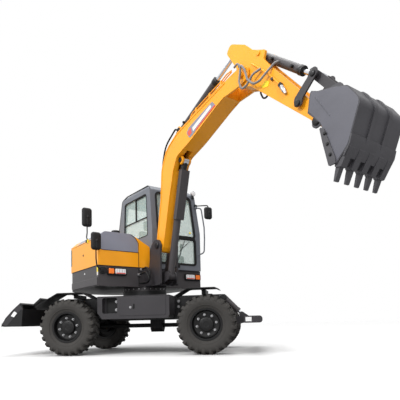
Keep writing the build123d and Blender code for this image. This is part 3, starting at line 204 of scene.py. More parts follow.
# Paints and surfaces. Columns: material slot, colour (screen values), colour spread, noise scale, bump,
# bump scale, lowest and highest roughness, then rounding of edges (m), coat and metal, 0 where left out.
SURFACES = {
    "amber": ("amber_paint", (236, 156, 18), 0.04, 2.5, 0.06, 90, 0.34, 0.44, 0.005, 0.25),
    "skirt": ("grey_paint", (62, 59, 61), 0.06, 3, 0.1, 120, 0.42, 0.55, 0.005, 0.1),
    "cab": ("cab_grey", (98, 102, 110), 0.05, 3, 0.08, 120, 0.36, 0.48, 0.006, 0.2),
    "hood": ("hood_grey", (124, 127, 140), 0.05, 3, 0.08, 120, 0.36, 0.48, 0.006, 0.2),
    "black": ("black_paint", (20, 20, 22), 0.15, 4, 0.12, 120, 0.42, 0.58, 0.003, 0.1),
    "box": ("black_paint", (50, 48, 51), 0.08, 4, 0.12, 120, 0.42, 0.55, 0.003, 0.1),
    # The bucket's two greys are one paint: the side plates' lighter grey is painted light, the shell's darker
    # grey on the next row painted shade
    "bucket": ("bucket_grey", (86, 86, 94), 0.07, 6, 0.2, 60, 0.36, 0.52, 0.003, 0.1),
    "bucket_painted_shade": ("bucket_grey", (68, 67, 71), 0.09, 6, 0.2, 60, 0.38, 0.55, 0.003, 0.1),
    "cast": ("cast_black", (15, 15, 16), 0.2, 8, 0.35, 140, 0.55, 0.7, 0.003),
    "rubber": ("tyre_rubber", (58, 56, 54), 0.1, 7, 0.25, 160, 0.7, 0.85, 0.004),
    "rim": ("rim_black", (8, 8, 9), 0.12, 5, 0.08, 120, 0.4, 0.52, 0.003, 0.1),
    "plastic": ("trim_plastic", (16, 16, 18), 0.1, 9, 0.2, 220, 0.48, 0.62, 0.003),
    "seal": ("trim_plastic", (12, 12, 13), 0.1, 9, 0.1, 200, 0.6, 0.72),
    "chrome": ("rod_chrome", (205, 207, 212), 0.02, 5, 0.01, 200, 0.12, 0.18, 0, 0, 1),
    "steel": ("rod_chrome", (176, 176, 178), 0.06, 20, 0.08, 200, 0.28, 0.42, 0, 0, 0.8),
    "engine": ("engine_iron", (60, 60, 62), 0.2, 9, 0.3, 60, 0.5, 0.65, 0.003, 0, 0.3),
    "fabric": ("seat_fabric", (40, 41, 45), 0.15, 40, 0.5, 300, 0.8, 0.95),
    "white": ("lamp_plastic", (228, 228, 228), 0.02, 5, 0.03, 200, 0.4, 0.5),
    "red": ("amber_paint", (206, 82, 70), 0.05, 6, 0.03, 200, 0.35, 0.45),
    "pale": ("lamp_plastic", (214, 208, 204), 0.03, 6, 0.03, 200, 0.35, 0.45),
    "mirror": ("rod_chrome", (190, 198, 205), 0.01, 3, 0, 50, 0.03, 0.05, 0, 0, 1),
    "hose": ("trim_plastic", (120, 118, 118), 0.08, 30, 0.25, 260, 0.45, 0.6),
    "yellow": ("amber_paint", (232, 205, 40), 0.03, 6, 0.03, 200, 0.35, 0.45),
}
for name, row in SURFACES.items():
    add_surface(name, *row)
add_clear("pane", (205, 226, 220), 0.05, 0.32)
add_clear("lens", (222, 222, 224), 0.15, 1)
add_clear("amber_lens", (242, 120, 34), 0.15, 1)
add_clear("red_lens", (205, 50, 40), 0.15, 1)

# The solids' looks
LOOK_NODES = {
    "black": ["chassis_frame", "slew_ring", "fenders", "dozer_blade", "handrails"],
    "box": ["side_boxes", "stabilizer", "boom_bracket", "rockers", "bucket_link"],
    "cast": ["driveline", "steered_axle", "rigid_axle", "knuckle_left", "knuckle_right"],
    "skirt": ["upper_frame", "counterweight", "boom_rod_guard"],
    "amber": ["engine_cover", "hood_lower", "boom", "arm"],
    "hood": ["hood_upper"],
    "cab": ["cab_shell", "cab_door"],
    "pane": ["cab_glass", "door_glass"],
    "plastic": ["console", "mirrors", "lamps"],
    "fabric": ["seat"],
    "engine": ["engine_block"],
    # The bucket's shell takes the darker grey of painted shade
    "bucket_painted_shade": ["bucket"],
    "chrome": ["steering_rod"],
    "rubber": [],
    "rim": [],
}
for name in ("boom", "arm", "bucket", "blade", "stabilizer"):
    LOOK_NODES["skirt"].append(name + "_cylinder_barrel")
    LOOK_NODES["chrome"].append(name + "_cylinder_rod")
for axle, _ in WHEELS:
    for side, _ in SIDES:
        LOOK_NODES["rubber"].append("tyre_" + axle + "_" + side)
        LOOK_NODES["rim"].append("rim_" + axle + "_" + side)
for look, names in LOOK_NODES.items():
    for name in names:
        piece = nodes[name]
        if not piece.material_slots:
            piece.data.materials.append(MATERIAL[look])
        for slot in piece.material_slots:
            slot.material = MATERIAL[look]


# Mesh making

class Shape:
    """Solids of several finishes that end up as one piece."""

    def __init__(self, bm=None):
        self.bm = bm or bmesh.new()
        self.looks = []
        self.at = STILL

    def index(self, look):
        """The place of a finish in the piece's list, which it joins if it is new."""
        if look not in self.looks:
            self.looks.append(look)
        return self.looks.index(look)

    def solid(self, points, faces, look):
        """Faces over points, all of one finish."""
        verts = [self.bm.verts.new(self.at @ Vector(p)) for p in points]
        for face in faces:
            self.bm.faces.new([verts[i] for i in face]).material_index = self.index(look)

    def piece(self, name, body="superstructure", place=UPPER, sharp=35):
        """The finished piece, put in its place on a body, with a material for each of its finishes."""
        mesh = bpy.data.meshes.new(name)
        bmesh.ops.recalc_face_normals(self.bm, faces=self.bm.faces)
        self.bm.to_mesh(mesh)
        self.bm.free()
        mesh.transform(place)
        for look in self.looks:
            mesh.materials.append(MATERIAL[look])
        mesh.shade_smooth()
        mesh.set_sharp_from_angle(angle=math.radians(sharp))
        piece = bpy.data.objects.new(name, mesh)
        scene.collection.objects.link(piece)
        if body:
            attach(piece, body)
        return piece


def rounded(rows, steps=6):
    """An outline from rows of a, b and corner radius, its round corners as arcs."""
    count = len(rows)
    out = []
    for i in range(count):
        here = Vector(rows[i][:2])
        back = Vector(rows[i - 1][:2]) - here
        ahead = Vector(rows[(i + 1) % count][:2]) - here
        radius = rows[i][2] if len(rows[i]) > 2 else 0
        half = back.angle(ahead) / 2
        if radius <= 0 or half > 1.55:
            out.append(here)
            continue
        tangent = min(radius / math.tan(half), 0.49 * back.length, 0.49 * ahead.length)
        radius = tangent * math.tan(half)
        toward = (back.normalized() + ahead.normalized()).normalized()
        centre = here + toward * (radius / math.sin(half))
        start = here + back.normalized() * tangent - centre
        end = here + ahead.normalized() * tangent - centre
        turn = start.angle_signed(end)
        for k in range(steps + 1):
            angle = -turn * k / steps
            c, s = math.cos(angle), math.sin(angle)
            out.append(centre + Vector((start.x * c - start.y * s, start.x * s + start.y * c)))
    return out


AXES = {"x": lambda a, b, h: (h, a, b), "y": lambda a, b, h: (a, h, b), "z": lambda a, b, h: (a, b, h)}


def grow(outline, distance):
    """An outline moved outwards by a distance."""
    count = len(outline)
    area = sum(outline[i - 1].x * outline[i].y - outline[i].x * outline[i - 1].y for i in range(count))
    sign = 1 if area > 0 else -1
    out = []
    for i in range(count):
        one = (outline[i] - outline[i - 1]).normalized()
        two = (outline[(i + 1) % count] - outline[i]).normalized()
        first = Vector((one.y, -one.x)) * sign
        way = (first + Vector((two.y, -two.x)) * sign).normalized()
        out.append(outline[i] + way * distance / max(way.dot(first), 0.5))
    return out


def bands(count, pairs):
    """Quads between pairs of rings that hold a number of points each."""
    return [(a * count + i, a * count + (i + 1) % count, b * count + (i + 1) % count, b * count + i)
            for a, b in pairs for i in range(count)]


def skin(count, rings, closed=False):
    """Faces of a run of rings, with a cap on each end or closed on itself."""
    faces = bands(count, [(r, (r + 1) % rings) for r in range(rings if closed else rings - 1)])
    if not closed:
        faces += [tuple(range(count))[::-1], tuple(range((rings - 1) * count, rings * count))]
    return faces


def stack(shape, outline, levels, axis, look):
    """Layers of one outline. Columns of levels: place along the axis, distance pulled in."""
    put = AXES[axis]
    points = []
    for level, pull in levels:
        points += [put(p.x, p.y, level) for p in (grow(outline, -pull) if pull else outline)]
    shape.solid(points, skin(len(outline), len(levels)), look)


def prism(shape, rows, low, high, axis, look, edge=0.002):
    """A plate with an outline across an axis and a chamfer on both faces' edges."""
    levels = [(low, edge), (low + edge, 0), (high - edge, 0), (high, edge)]
    stack(shape, rounded(rows), levels, axis, look)


def pillow(shape, rows, low, high, axis, look, soft, rings=4):
    """A plate with an outline across an axis whose edges are rounded by a radius."""
    levels = []
    for k in range(rings + 1):
        a = math.pi / 2 * k / rings
        levels.append((low + soft * (1 - math.cos(a)), soft * (1 - math.sin(a))))
    levels += [(low + high - level, pull) for level, pull in reversed(levels)]
    stack(shape, rounded(rows), levels, axis, look)


def oblong(a_low, a_high, b_low, b_high, radius=0):
    """Rows of a rectangle with round corners."""
    return [(a_low, b_low, radius), (a_high, b_low, radius), (a_high, b_high, radius),
            (a_low, b_high, radius)]


def cuboid(shape, low, high, look, edge=0.002):
    """A box between two corners, its flat edges chamfered."""
    prism(shape, oblong(low[0], high[0], low[1], high[1]), low[2], high[2], "z", look, edge)


def span(sign, inner, outer):
    """Low and high Y between two distances from the middle, on the side of the sign."""
    return sorted((sign * inner, sign * outer))


def ring(shape, rows, outward, inward, put, low, high, look):
    """A flat frame round an outline, laid on the surface that put gives."""
    corners = rounded(rows)
    base = []
    for i in range(len(corners)):
        gap = corners[i] - corners[i - 1]
        parts = max(1, round(gap.length / 0.12))
        base += [corners[i - 1] + gap * (k + 1) / parts for k in range(parts)]
    points = []
    for level in (low, high):
        for distance in (outward, -inward):
            points += [put(p, level) for p in grow(base, distance)]
    shape.solid(points, bands(len(base), ((0, 1), (1, 3), (3, 2), (2, 0))), look)


def ribbon(shape, line, depth, y_low, y_high, look):
    """A bent plate that follows a run of points (x, z), its thickness to the right of the run."""
    pts = [Vector(p) for p in line]
    points = []
    for i, here in enumerate(pts):
        way = (pts[min(i + 1, len(pts) - 1)] - pts[max(i - 1, 0)]).normalized()
        inner = here + Vector((way.y, -way.x)) * depth
        points += [(p.x, y, p.y) for p, y in ((here, y_low), (inner, y_low), (inner, y_high), (here, y_high))]
    shape.solid(points, skin(4, len(pts)), look)


def lathe(shape, rows, centre, direction, look, steps=48, closed=False):
    """Rows of radius and distance along an axis, turned about it. An open row run gets end caps."""
    axis = Vector(direction).normalized()
    side = axis.orthogonal().normalized()
    up = axis.cross(side)
    points = []
    for radius, along in rows:
        for k in range(steps):
            a = 2 * math.pi * k / steps
            points.append(Vector(centre) + axis * along + (side * math.cos(a) + up * math.sin(a)) * radius)
    shape.solid(points, skin(steps, len(rows), closed), look)


def bolt(shape, place, direction, radius, height, look, washer=True):
    """A hexagon head on a washer."""
    if washer:
        lathe(shape, [(radius * 1.35, 0), (radius * 1.35, height * 0.2)], place, direction, look, 16)
    start = Vector(place) + Vector(direction).normalized() * height * 0.15
    lathe(shape, [(radius, 0), (radius, height * 0.75), (radius * 0.82, height)], start, direction, look, 6)


def bent_line(points, radius, steps=5):
    """Straight runs with round bends, as bent pipe."""
    pts = [Vector(p) for p in points]
    out = [pts[0]]
    for i in range(1, len(pts) - 1):
        back = pts[i - 1] - pts[i]
        ahead = pts[i + 1] - pts[i]
        half = back.angle(ahead) / 2
        tangent = min(radius / math.tan(half), 0.45 * back.length, 0.45 * ahead.length) if half < 1.56 else 0
        start = pts[i] + back.normalized() * tangent
        end = pts[i] + ahead.normalized() * tangent
        for k in range(steps + 1):
            t = k / steps
            out.append(start * (1 - t) ** 2 + pts[i] * 2 * t * (1 - t) + end * t * t)
    out.append(pts[-1])
    return out


def tube(shape, line, radius, look, sides=12):
    """A round tube along a line, with closed ends."""
    count = len(line)
    normal = None
    points = []
    for i in range(count):
        ahead = (line[min(i + 1, count - 1)] - line[max(i - 1, 0)]).normalized()
        if normal is None:
            normal = ahead.orthogonal().normalized()
        normal = (normal - ahead * normal.dot(ahead)).normalized()
        across = ahead.cross(normal)
        for k in range(sides):
            a = 2 * math.pi * k / sides
            points.append(line[i] + (normal * math.cos(a) + across * math.sin(a)) * radius)
    shape.solid(points, skin(sides, count), look)


def pipe(shape, points, radius, look, bend=0.06, sides=12):
    """A tube along points, bent round at each of them."""
    tube(shape, bent_line(points, bend), radius, look, sides)


def pin_heads(shape, pin, out, radius, inner, levels, look):
    """Round caps on both ends of a pin, their foot, slope and top at levels from the lug."""
    foot, slope, top = levels
    rows = [(radius, foot), (radius, slope), (inner, top), (0.001, top)]
    for sign in (-1, 1):
        lathe(shape, rows, (pin[0], sign * out, pin[1]), (0, sign, 0), look, 28)


# Tyres and rims. Columns of the rows: radius, distance along the axle (m)

TYRE_HALF = [(0.212, 0.104), (0.23, 0.112), (0.25, 0.124), (0.285, 0.142), (0.32, 0.149), (0.35, 0.147),
             (0.372, 0.139), (0.386, 0.122), (0.39, 0.08), (0.391, 0)]
TYRE_ROWS = [(radius, -along) for radius, along in TYRE_HALF] + TYRE_HALF[-2::-1]
BEAD_ROWS = [(0.262, 0.1325), (0.266, 0.1365), (0.272, 0.1385), (0.276, 0.1375)]
# One lug. Columns: offset across the tread, height of its top and of its root, turn (degrees), half width
LUG_ROWS = [(0.149, 0.352, 0.34, 0, 0.017), (0.147, 0.386, 0.35, 0.3, 0.022),
            (0.128, 0.414, 0.372, 1, 0.023), (0.085, 0.415, 0.384, 3, 0.022),
            (0.03, 0.415, 0.384, 6.4, 0.021), (-0.012, 0.415, 0.384, 7.6, 0.018)]


def make_tyre(name, centre):
    """A tyre with a bead line on each side and lugs that run from its shoulders past the middle."""
    shape = Shape()
    lathe(shape, TYRE_ROWS, centre, (0, 1, 0), "rubber", 96, closed=True)
    for sign in (1, -1):
        lathe(shape, [(r, sign * y) for r, y in BEAD_ROWS], centre, (0, 1, 0), "rubber", 96, closed=True)
        for k in range(LUGS):
            base = 360 / LUGS * (k + (0.5 if sign < 0 else 0))
            points = []
            for offset, top, root, turn, half in LUG_ROWS:
                for r, swing in ((root, -LUG_FOOT), (top, -1), (top, 1), (root, LUG_FOOT)):
                    a = math.radians(base + turn) + swing * half / LUG_RADIUS
                    points.append(centre + Vector((r * math.cos(a), sign * offset, r * math.sin(a))))
            shape.solid(points, skin(4, len(LUG_ROWS)), "rubber")
    return shape.piece("tread_" + name, "wheel_" + name, STILL, 32)


RIM_ROWS = [(0.2, -0.116), (0.226, -0.117), (0.228, -0.11), (0.212, -0.102), (0.209, -0.05), (0.198, -0.03),
            (0.198, 0.03), (0.209, 0.05), (0.212, 0.102), (0.228, 0.11), (0.226, 0.117), (0.2, 0.116),
            (0.194, 0.104), (0.19, 0.04), (0.188, -0.03), (0.194, -0.104)]
DISC_ROWS = [(0.195, 0.046), (0.186, 0.06), (0.172, 0.064), (0.16, 0.061), (0.112, 0.05), (0.104, 0.05),
             (0.103, 0.066), (0.098, 0.084), (0.09, 0.089), (0.04, 0.0895), (0.036, 0.0865), (0.001, 0.0865)]


def make_rim(name, centre, out):
    """A rim with its dished disc, hub, wheel nuts and the hub's small nuts."""
    shape = Shape()
    lathe(shape, RIM_ROWS, centre, out, "rim", 72, closed=True)
    lathe(shape, DISC_ROWS, centre, out, "rim", 72)
    lathe(shape, [(0.001, -0.058), (0.09, -0.058), (0.09, 0.035), (0.192, 0.035), (0.195, 0.046)], centre,
          out, "rim", 48)
    for k in range(NUTS):
        a = 2 * math.pi * (k + 0.25) / NUTS
        spot = centre + Vector((math.cos(a), 0, math.sin(a))) * NUT_CIRCLE + out * 0.055
        bolt(shape, spot, out, 0.0135, 0.026, "steel")
        a += math.pi / NUTS
        spot = centre + Vector((math.cos(a), 0, math.sin(a))) * HUB_NUT_CIRCLE + out * 0.0865
        bolt(shape, spot, out, 0.006, 0.0065, "rim", washer=False)
    return shape.piece("disc_" + name, "wheel_" + name, STILL)


for axle, x in WHEELS:
    for side, sign in SIDES:
        name = axle + "_" + side
        centre = Vector((x, sign * TRACK / 2, AXLE_Z))
        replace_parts(make_tyre(name, centre), "tyre_" + name)
        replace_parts(make_rim(name, centre, Vector((0, sign, 0))), "rim_" + name)


# Upper structure: trim, lamps, mirrors and rail

def make_upper_trim():
    """Seams, side band, slot, filler cap, locks, blank stickers and the lower mirror's bracket."""
    shape = Shape()
    face, side = FRONT_FACE, SKIRT_SIDE
    low, high = SKIRT_TOP - 0.007, SKIRT_TOP + 0.007
    cuboid(shape, (-0.8, side - TRIM, low), (face, side + 0.01, high), "seal", 0.001)
    cuboid(shape, (face - 0.01, side - TRIM, low), (face + TRIM, -0.07, high), "seal", 0.001)
    prism(shape, [(-0.8, 1.02, 0.03), (0.262, 1.02), (0.262, 1.135), (-0.8, 1.135, 0.01)], side - 0.012,
          side + 0.002, "y", "skirt", 0.005)
    prism(shape, oblong(-0.845, -0.812, 1.42, 1.7, 0.014), side - 0.002, side + 0.01, "y", "seal")
    outline = [(-0.905, 1.74), (-0.9, 1.585), (-0.893, 1.56), (-0.875, 1.548), (-0.85, 1.545),
               (-0.262, 1.545), (-0.262, 1.69), (-0.31, 1.76), (-0.39, 1.818)]
    tube(shape, [Vector((face + 0.001, y, z)) for y, z in outline], SEAM, "seal", 8)
    for top, bottom in ((1.545, 1.317), (1.305, 1.03)):
        pipe(shape, [(face + 0.001, -0.262, top), (face + 0.001, -0.262, bottom)], SEAM, "seal")
    pipe(shape, [(-0.84, side + 0.002, 1.728), (0.27, side + 0.002, 1.728)], 0.007, "amber")
    lathe(shape, [(0.05, 0), (0.05, 0.06), (0.066, 0.065), (0.068, 0.095), (0.06, 0.108), (0.001, 0.112)],
          (-0.05, -0.49, 1.82), (0, 0, 1), "plastic", 32)
    for u, z, radius, look in ((-0.3, 1.535, 0.016, "skirt"), (-0.24, 1.235, 0.014, "white")):
        lathe(shape, [(radius, -0.004), (radius, 0.004), (radius * 0.8, 0.007), (0.001, 0.007)], (u, side, z),
              (0, -1, 0), look, 24)
    for bottom, top, look in ((1.215, 1.285, "yellow"), (1.165, 1.215, "pale")):
        prism(shape, oblong(0.235, 0.275, bottom, top), side - 0.004, side + 0.001, "y", look, 0.001)
    prism(shape, oblong(-0.905, -0.82, 1.19, 1.285, 0.02), face, face + 0.035, "x", "plastic", 0.006)
    shape.piece("upper_trim")


# Lamps. Columns: bezel's low and high Y, outer lens from and to Y, inner lens from and to Y, low and high Z
LAMPS = [(-0.8, -0.478, -0.778, -0.694, -0.672, -0.502, 1.172, 1.288),
         (0.592, 0.918, 0.806, 0.895, 0.612, 0.784, 1.148, 1.262)]


def make_lamps():
    """Two front lamps with an amber and a clear lens, and the work lamp on the roof's edge."""
    shape = Shape()
    face = FRONT_FACE
    for y_low, y_high, a_low, a_high, b_low, b_high, z_low, z_high in LAMPS:
        prism(shape, oblong(y_low, y_high, z_low, z_high, 0.03), face, face + 0.034, "x", "seal", 0.008)
        low, high = z_low + 0.02, z_high - 0.02
        for start, end, look in ((a_low, a_high, "amber_lens"), (b_low, b_high, "lens")):
            prism(shape, oblong(start, end, low, high, 0.012), face + 0.03, face + 0.044, "x", look, 0.004)
        prism(shape, oblong(b_low + 0.01, b_high - 0.01, low + 0.004, low + 0.018, 0.004), face + 0.04,
              face + 0.0455, "x", "red_lens", 0.001)
        for k in range(4):
            y = b_low + (b_high - b_low) * (k + 0.5) / 4
            cuboid(shape, (face + 0.042, y - 0.0015, low + 0.02), (face + 0.0455, y + 0.0015, high - 0.006),
                   "plastic", 0.0005)
    prism(shape, [(0.782, 2.56), (0.818, 2.56), (0.812, 2.62), (0.788, 2.62)], 0.275, 0.305, "x", "plastic")
    centre = (0.292, 0.8, 2.648)
    lathe(shape, [(0.02, -0.03), (0.034, -0.022), (0.043, 0), (0.045, 0.018), (0.041, 0.022)], centre,
          (1, 0, 0), "steel", 32)
    lathe(shape, [(0.04, 0.018), (0.036, 0.024), (0.001, 0.028)], centre, (1, 0, 0), "lens", 32)
    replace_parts(shape.piece("lamp_clusters"), "lamps")


# Mirrors. Columns: centre, half width, half height, turn (degrees), stalk.
MIRRORS = [
    ((-0.2, -0.905, 2.13), 0.08, 0.15, 2,
     [(-0.2, -0.905, 2.06), (-0.2, -0.905, 1.88), (-0.175, -0.925, 1.8), (-0.14, -0.915, 1.74)]),
    ((0.345, -0.985, 1.65), 0.075, 0.13, 2,
     [(0.335, -0.985, 1.6), (0.335, -0.985, 1.4), (0.33, -0.97, 1.28), (0.3, -0.88, 1.235)]),
    ((0.4, 1.045, 2.32), 0.072, 0.105, -10,
     [(0.4, 1.045, 2.33), (0.4, 1.045, 2.452), (0.36, 0.98, 2.452), (0.29, 0.845, 2.44)]),
]


def make_mirrors():
    """Three mirrors with domed backs, glass towards the driver, and bent stalks with clamps."""
    shape = Shape()
    for centre, half_width, half_height, turn, stalk in MIRRORS:
        pipe(shape, stalk, 0.0095, "plastic", 0.08)
        shape.at = Matrix.Translation(centre) @ Matrix.Rotation(math.radians(turn), 4, "Z")
        outline = rounded(oblong(-half_width, half_width, -half_height, half_height, half_width * 0.55), 8)
        levels = [(-0.02, 0.004), (-0.018, 0), (-0.002, 0), (0.008, 0.003), (0.016, 0.01), (0.021, 0.022),
                  (0.0235, 0.04)]
        stack(shape, outline, levels, "x", "plastic")
        stack(shape, grow(outline, -0.007), [(-0.0205, 0), (-0.0215, 0.001)], "x", "mirror")
        lathe(shape, [(0.02, 0.02), (0.02, 0.034), (0.012, 0.04), (0.001, 0.041)], (0, 0, 0), (1, 0, 0),
              "plastic", 20)
        pillow(shape, oblong(-0.016, 0.016, -half_height * 0.85, 0.02, 0.012), 0.012, 0.034, "x",
               "plastic", 0.006)
        shape.at = STILL
    for spot in ((-0.14, -0.925, 1.735), (0.3, -0.88, 1.235), (0.29, 0.85, 2.44)):
        cuboid(shape, [c - 0.022 for c in spot], [c + 0.022 for c in spot], "plastic", 0.006)
    cuboid(shape, (-0.12, -0.94, 1.7), (-0.08, -0.925, 1.755), "yellow", 0.003)
    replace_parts(shape.piece("mirror_set"), "mirrors")


RAIL = [(0.322, 0.845, 2.4), (0.38, 0.905, 2.385), (0.385, 0.958, 2.06), (0.385, 0.96, 1.86),
        (0.38, 0.95, 1.625), (0.322, 0.88, 1.592)]


def make_rail():
    """The grab rail beside the door with a foot at each end."""
    shape = Shape()
    pipe(shape, RAIL, 0.0115, "cab", 0.09, 16)
    for u, y, z in (RAIL[0], RAIL[-1]):
        lathe(shape, [(0.024, -0.014), (0.024, 0.004), (0.018, 0.01), (0.001, 0.01)], (u, y, z), (1, 0.4, 0),
              "cab", 20)
    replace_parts(shape.piece("grab_rail"), "handrails")


make_upper_trim()
make_lamps()
make_mirrors()
make_rail()


# Cab: points on its leaning walls, raised by a level

def left_y(z):
    return 0.905 - 0.06 * max(z - CAB_LOW, 0) / 0.65


def on_front(p, level):
    return (0.33 - 0.06 * max(p.y - CAB_LOW, 0) / 0.66 + level, p.x, p.y)


def on_rear(p, level):
    return (-0.85 + 0.15 * max(p.y - 2.1, 0) / 0.54 - level, p.x, p.y)


def on_left(p, level):
    return (p.x, left_y(p.y) + level, p.y)


def on_right(p, level):
    return (p.x, -0.04 - level, p.y)


# Window seals. Columns: outline, outward width, inward width, surface.
SEALS = [
    ([(0.07, 1.87, 0.04), (0.79, 1.87, 0.04), (0.74, 2.56, 0.06), (0.07, 2.56, 0.06)], 0.02, 0.014, on_front),
    ([(0.07, 1.41, 0.04), (0.8, 1.41, 0.04), (0.795, 1.83, 0.03), (0.07, 1.83, 0.03)], 0.02, 0.014, on_front),
    ([(0.08, 1.84, 0.05), (0.79, 1.84, 0.05), (0.73, 2.54, 0.05), (0.08, 2.54, 0.05)], 0.014, 0.012, on_rear),
    ([(-0.64, 1.86, 0.04), (0.19, 1.86, 0.04), (0.16, 2.55, 0.05), (-0.6, 2.55, 0.05)], 0.004, 0.005,
     on_right),
]
DOOR_SEAL = [(-0.56, 1.44, 0.04), (0.2, 1.44, 0.04), (0.19, 2.53, 0.06), (-0.56, 2.53, 0.06)]


def make_cab_trim():
    """Seals, bars, gutters, roof panel, aerial, wiper, blank triangle, and the door's seal and fittings."""
    shape = Shape()
    for rows, outward, inward, put in SEALS:
        ring(shape, rows, outward, inward, put, -0.012, 0.005, "seal")
    cuboid(shape, (0.318, 0.072, 1.832), (0.336, 0.795, 1.868), "seal")
    for u_low, u_high, z_low, z_high in ((-0.63, 0.185, 2.156, 2.17), (-0.208, -0.194, 2.165, 2.545),
                                         (-0.2, 0.15, 2.528, 2.546)):
        cuboid(shape, (u_low, -0.0445, z_low), (u_high, -0.022, z_high), "seal")
    gutter = [(-0.851, -0.036, 1.33), (-0.851, -0.036, 2.09), (-0.704, -0.034, 2.635), (-0.56, -0.012, 2.69),
              (0.18, -0.012, 2.682), (0.262, -0.03, 2.61)]
    pipe(shape, gutter, 0.009, "seal", 0.08)
    left = [(-0.704, 0.838, 2.59), (-0.56, 0.83, 2.64), (0.18, 0.83, 2.635), (0.262, 0.838, 2.59)]
    pipe(shape, left, 0.008, "seal", 0.08)
    pillow(shape, oblong(-0.5, 0.1, 0.1, 0.68, 0.08), 2.69, 2.713, "z", "cab", 0.012)
    lathe(shape, [(0.018, 0), (0.016, 0.014), (0.006, 0.024), (0.005, 0.12), (0.001, 0.122)],
          (-0.17, 0.2, 2.698), (0, 0, 1), "plastic", 12)
    pipe(shape, [(0.345, 0.43, 1.4), (0.345, 0.43, 1.46), (0.338, 0.58, 1.8)], 0.006, "plastic")
    pipe(shape, [(0.339, 0.47, 1.62), (0.339, 0.66, 1.78)], 0.005, "seal")
    cuboid(shape, (0.32, 0.39, 1.345), (0.35, 0.47, 1.395), "plastic", 0.006)
    corners = [Vector(p) for p in ((0.676, 1.936), (0.72, 1.936), (0.698, 1.972))]
    points = [on_front(p, level) for level in (0, 0.004) for p in corners]
    shape.solid(points, skin(3, 2), "yellow")
    shape.piece("cab_trim")
    door = Shape()
    ring(door, DOOR_SEAL, 0.014, 0.012, on_left, -0.012, 0.005, "seal")
    pillow(door, oblong(0.135, 0.235, 1.72, 1.76, 0.012), 0.905, 0.925, "y", "plastic", 0.006)
    cuboid(door, (0.205, 0.903, 1.765), (0.232, 0.914, 1.8), "steel", 0.003)
    for z in (1.55, 1.9, 2.3):
        lathe(door, [(0.013, -0.05), (0.013, 0.05)], (-0.636, left_y(z) + 0.01, z), (0, 0, 1), "plastic", 16)
    door.piece("door_trim", "cab_door")


# Seat: cushion, back and head rest. Columns: outline, half width, softness of the edges
SEAT_PARTS = [
    ([(-0.52, 1.49, 0.04), (-0.06, 1.49, 0.05), (-0.05, 1.595, 0.05), (-0.5, 1.585, 0.03)], 0.24, 0.035),
    ([(-0.55, 1.57, 0.04), (-0.44, 1.57, 0.04), (-0.5, 2.1, 0.05), (-0.59, 2.1, 0.05)], 0.23, 0.035),
    ([(-0.585, 2.12, 0.03), (-0.505, 2.12, 0.03), (-0.52, 2.3, 0.04), (-0.6, 2.3, 0.04)], 0.13, 0.03),
]


def make_seat():
    """Seat with arm rests and levers, and the steering wheel on its column."""
    shape = Shape()
    middle = SEAT_MIDDLE
    for rows, half, soft in SEAT_PARTS:
        pillow(shape, rows, middle - half, middle + half, "y", "fabric", soft)
    cuboid(shape, (-0.45, middle - 0.18, CAB_FLOOR), (-0.13, middle + 0.18, 1.495), "plastic", 0.01)
    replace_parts(shape.piece("driver_seat"), "seat")
    controls = Shape()
    for y in (middle - 0.305, middle + 0.305):
        pillow(controls, [(-0.4, CAB_FLOOR, 0.02), (0.02, CAB_FLOOR, 0.04), (0.02, 1.6, 0.06),
                          (-0.1, 1.64, 0.04), (-0.4, 1.64, 0.04)], y - 0.045, y + 0.045, "y", "plastic", 0.02)
        pipe(controls, [(-0.04, y, 1.6), (-0.02, y, 1.74)], 0.011, "seal")
        lathe(controls, [(0.012, -0.01), (0.024, 0.03), (0.026, 0.07), (0.018, 0.1), (0.001, 0.105)],
              (-0.02, y, 1.72), (0.1, 0, 1), "plastic", 20)
    column = [(0.15, middle, CAB_FLOOR), (0.15, middle, 1.6), (0.1, middle, 1.8)]
    pipe(controls, column, 0.035, "plastic", 0.1)
    tilt = Vector((-0.35, 0, 1)).normalized()
    wheel = [(0.165 + 0.013 * math.cos(k * math.pi / 4), 0.013 * math.sin(k * math.pi / 4)) for k in range(8)]
    lathe(controls, wheel, STEERING_WHEEL, tilt, "plastic", 40, closed=True)
    lathe(controls, [(0.045, -0.02), (0.05, 0), (0.04, 0.016), (0.001, 0.018)], (0.09, middle, 1.82), tilt,
          "plastic", 24)
    for turn in (0, 120, 240):
        spoke = Matrix.Rotation(math.radians(turn), 3, tilt) @ Vector((0, 1, 0))
        pipe(controls, [Vector(STEERING_WHEEL) + spoke * reach for reach in (0.03, 0.16)], 0.01, "plastic")
    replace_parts(controls.piece("controls"), "console")


# Tail

def tail_plate(shape, y_low, y_high, z_low, z_high, outer, inner, look, parts=14):
    """A plate bent to the round tail, between two insets from its face."""
    points = []
    for k in range(parts + 1):
        y = y_low + (y_high - y_low) * k / parts
        for inset, z in ((outer, z_low), (outer, z_high), (inner, z_high), (inner, z_low)):
            radius = TAIL_RADIUS - inset
            points.append((TAIL_MIDDLE - math.sqrt(radius * radius - y * y), y, z))
    shape.solid(points, skin(4, parts + 1), look)


def make_tail_trim():
    """Louvres and a latch on the engine cover, reflectors and a cover plate on the rear weight."""
    cover = Shape()
    for y_low, y_high in ((-0.66, -0.2), (0.2, 0.66)):
        tail_plate(cover, y_low, y_high, 1.6, 1.715, 0.018, 0.024, "seal")
        for k in range(LOUVRES):
            z = 1.61 + LOUVRE_STEP * k
            tail_plate(cover, y_low + 0.012, y_high - 0.012, z, z + 0.008, 0.012, 0.02, "plastic")
    tail_plate(cover, -0.055, 0.055, 1.61, 1.65, 0.012, 0.022, "plastic", 4)
    tail_plate(cover, -0.02, 0.02, 1.62, 1.64, 0.006, 0.014, "steel", 2)
    cover.piece("cover_trim", "engine_cover")
    weight = Shape()
    for y in (-0.54, 0.54):
        tail_plate(weight, y - 0.055, y + 0.055, 1.19, 1.235, -0.004, 0.004, "red_lens", 4)
    tail_plate(weight, -0.045, 0.045, 1.045, 1.105, -0.002, 0.006, "seal", 4)
    weight.piece("weight_trim")


make_cab_trim()
make_seat()
make_tail_trim()


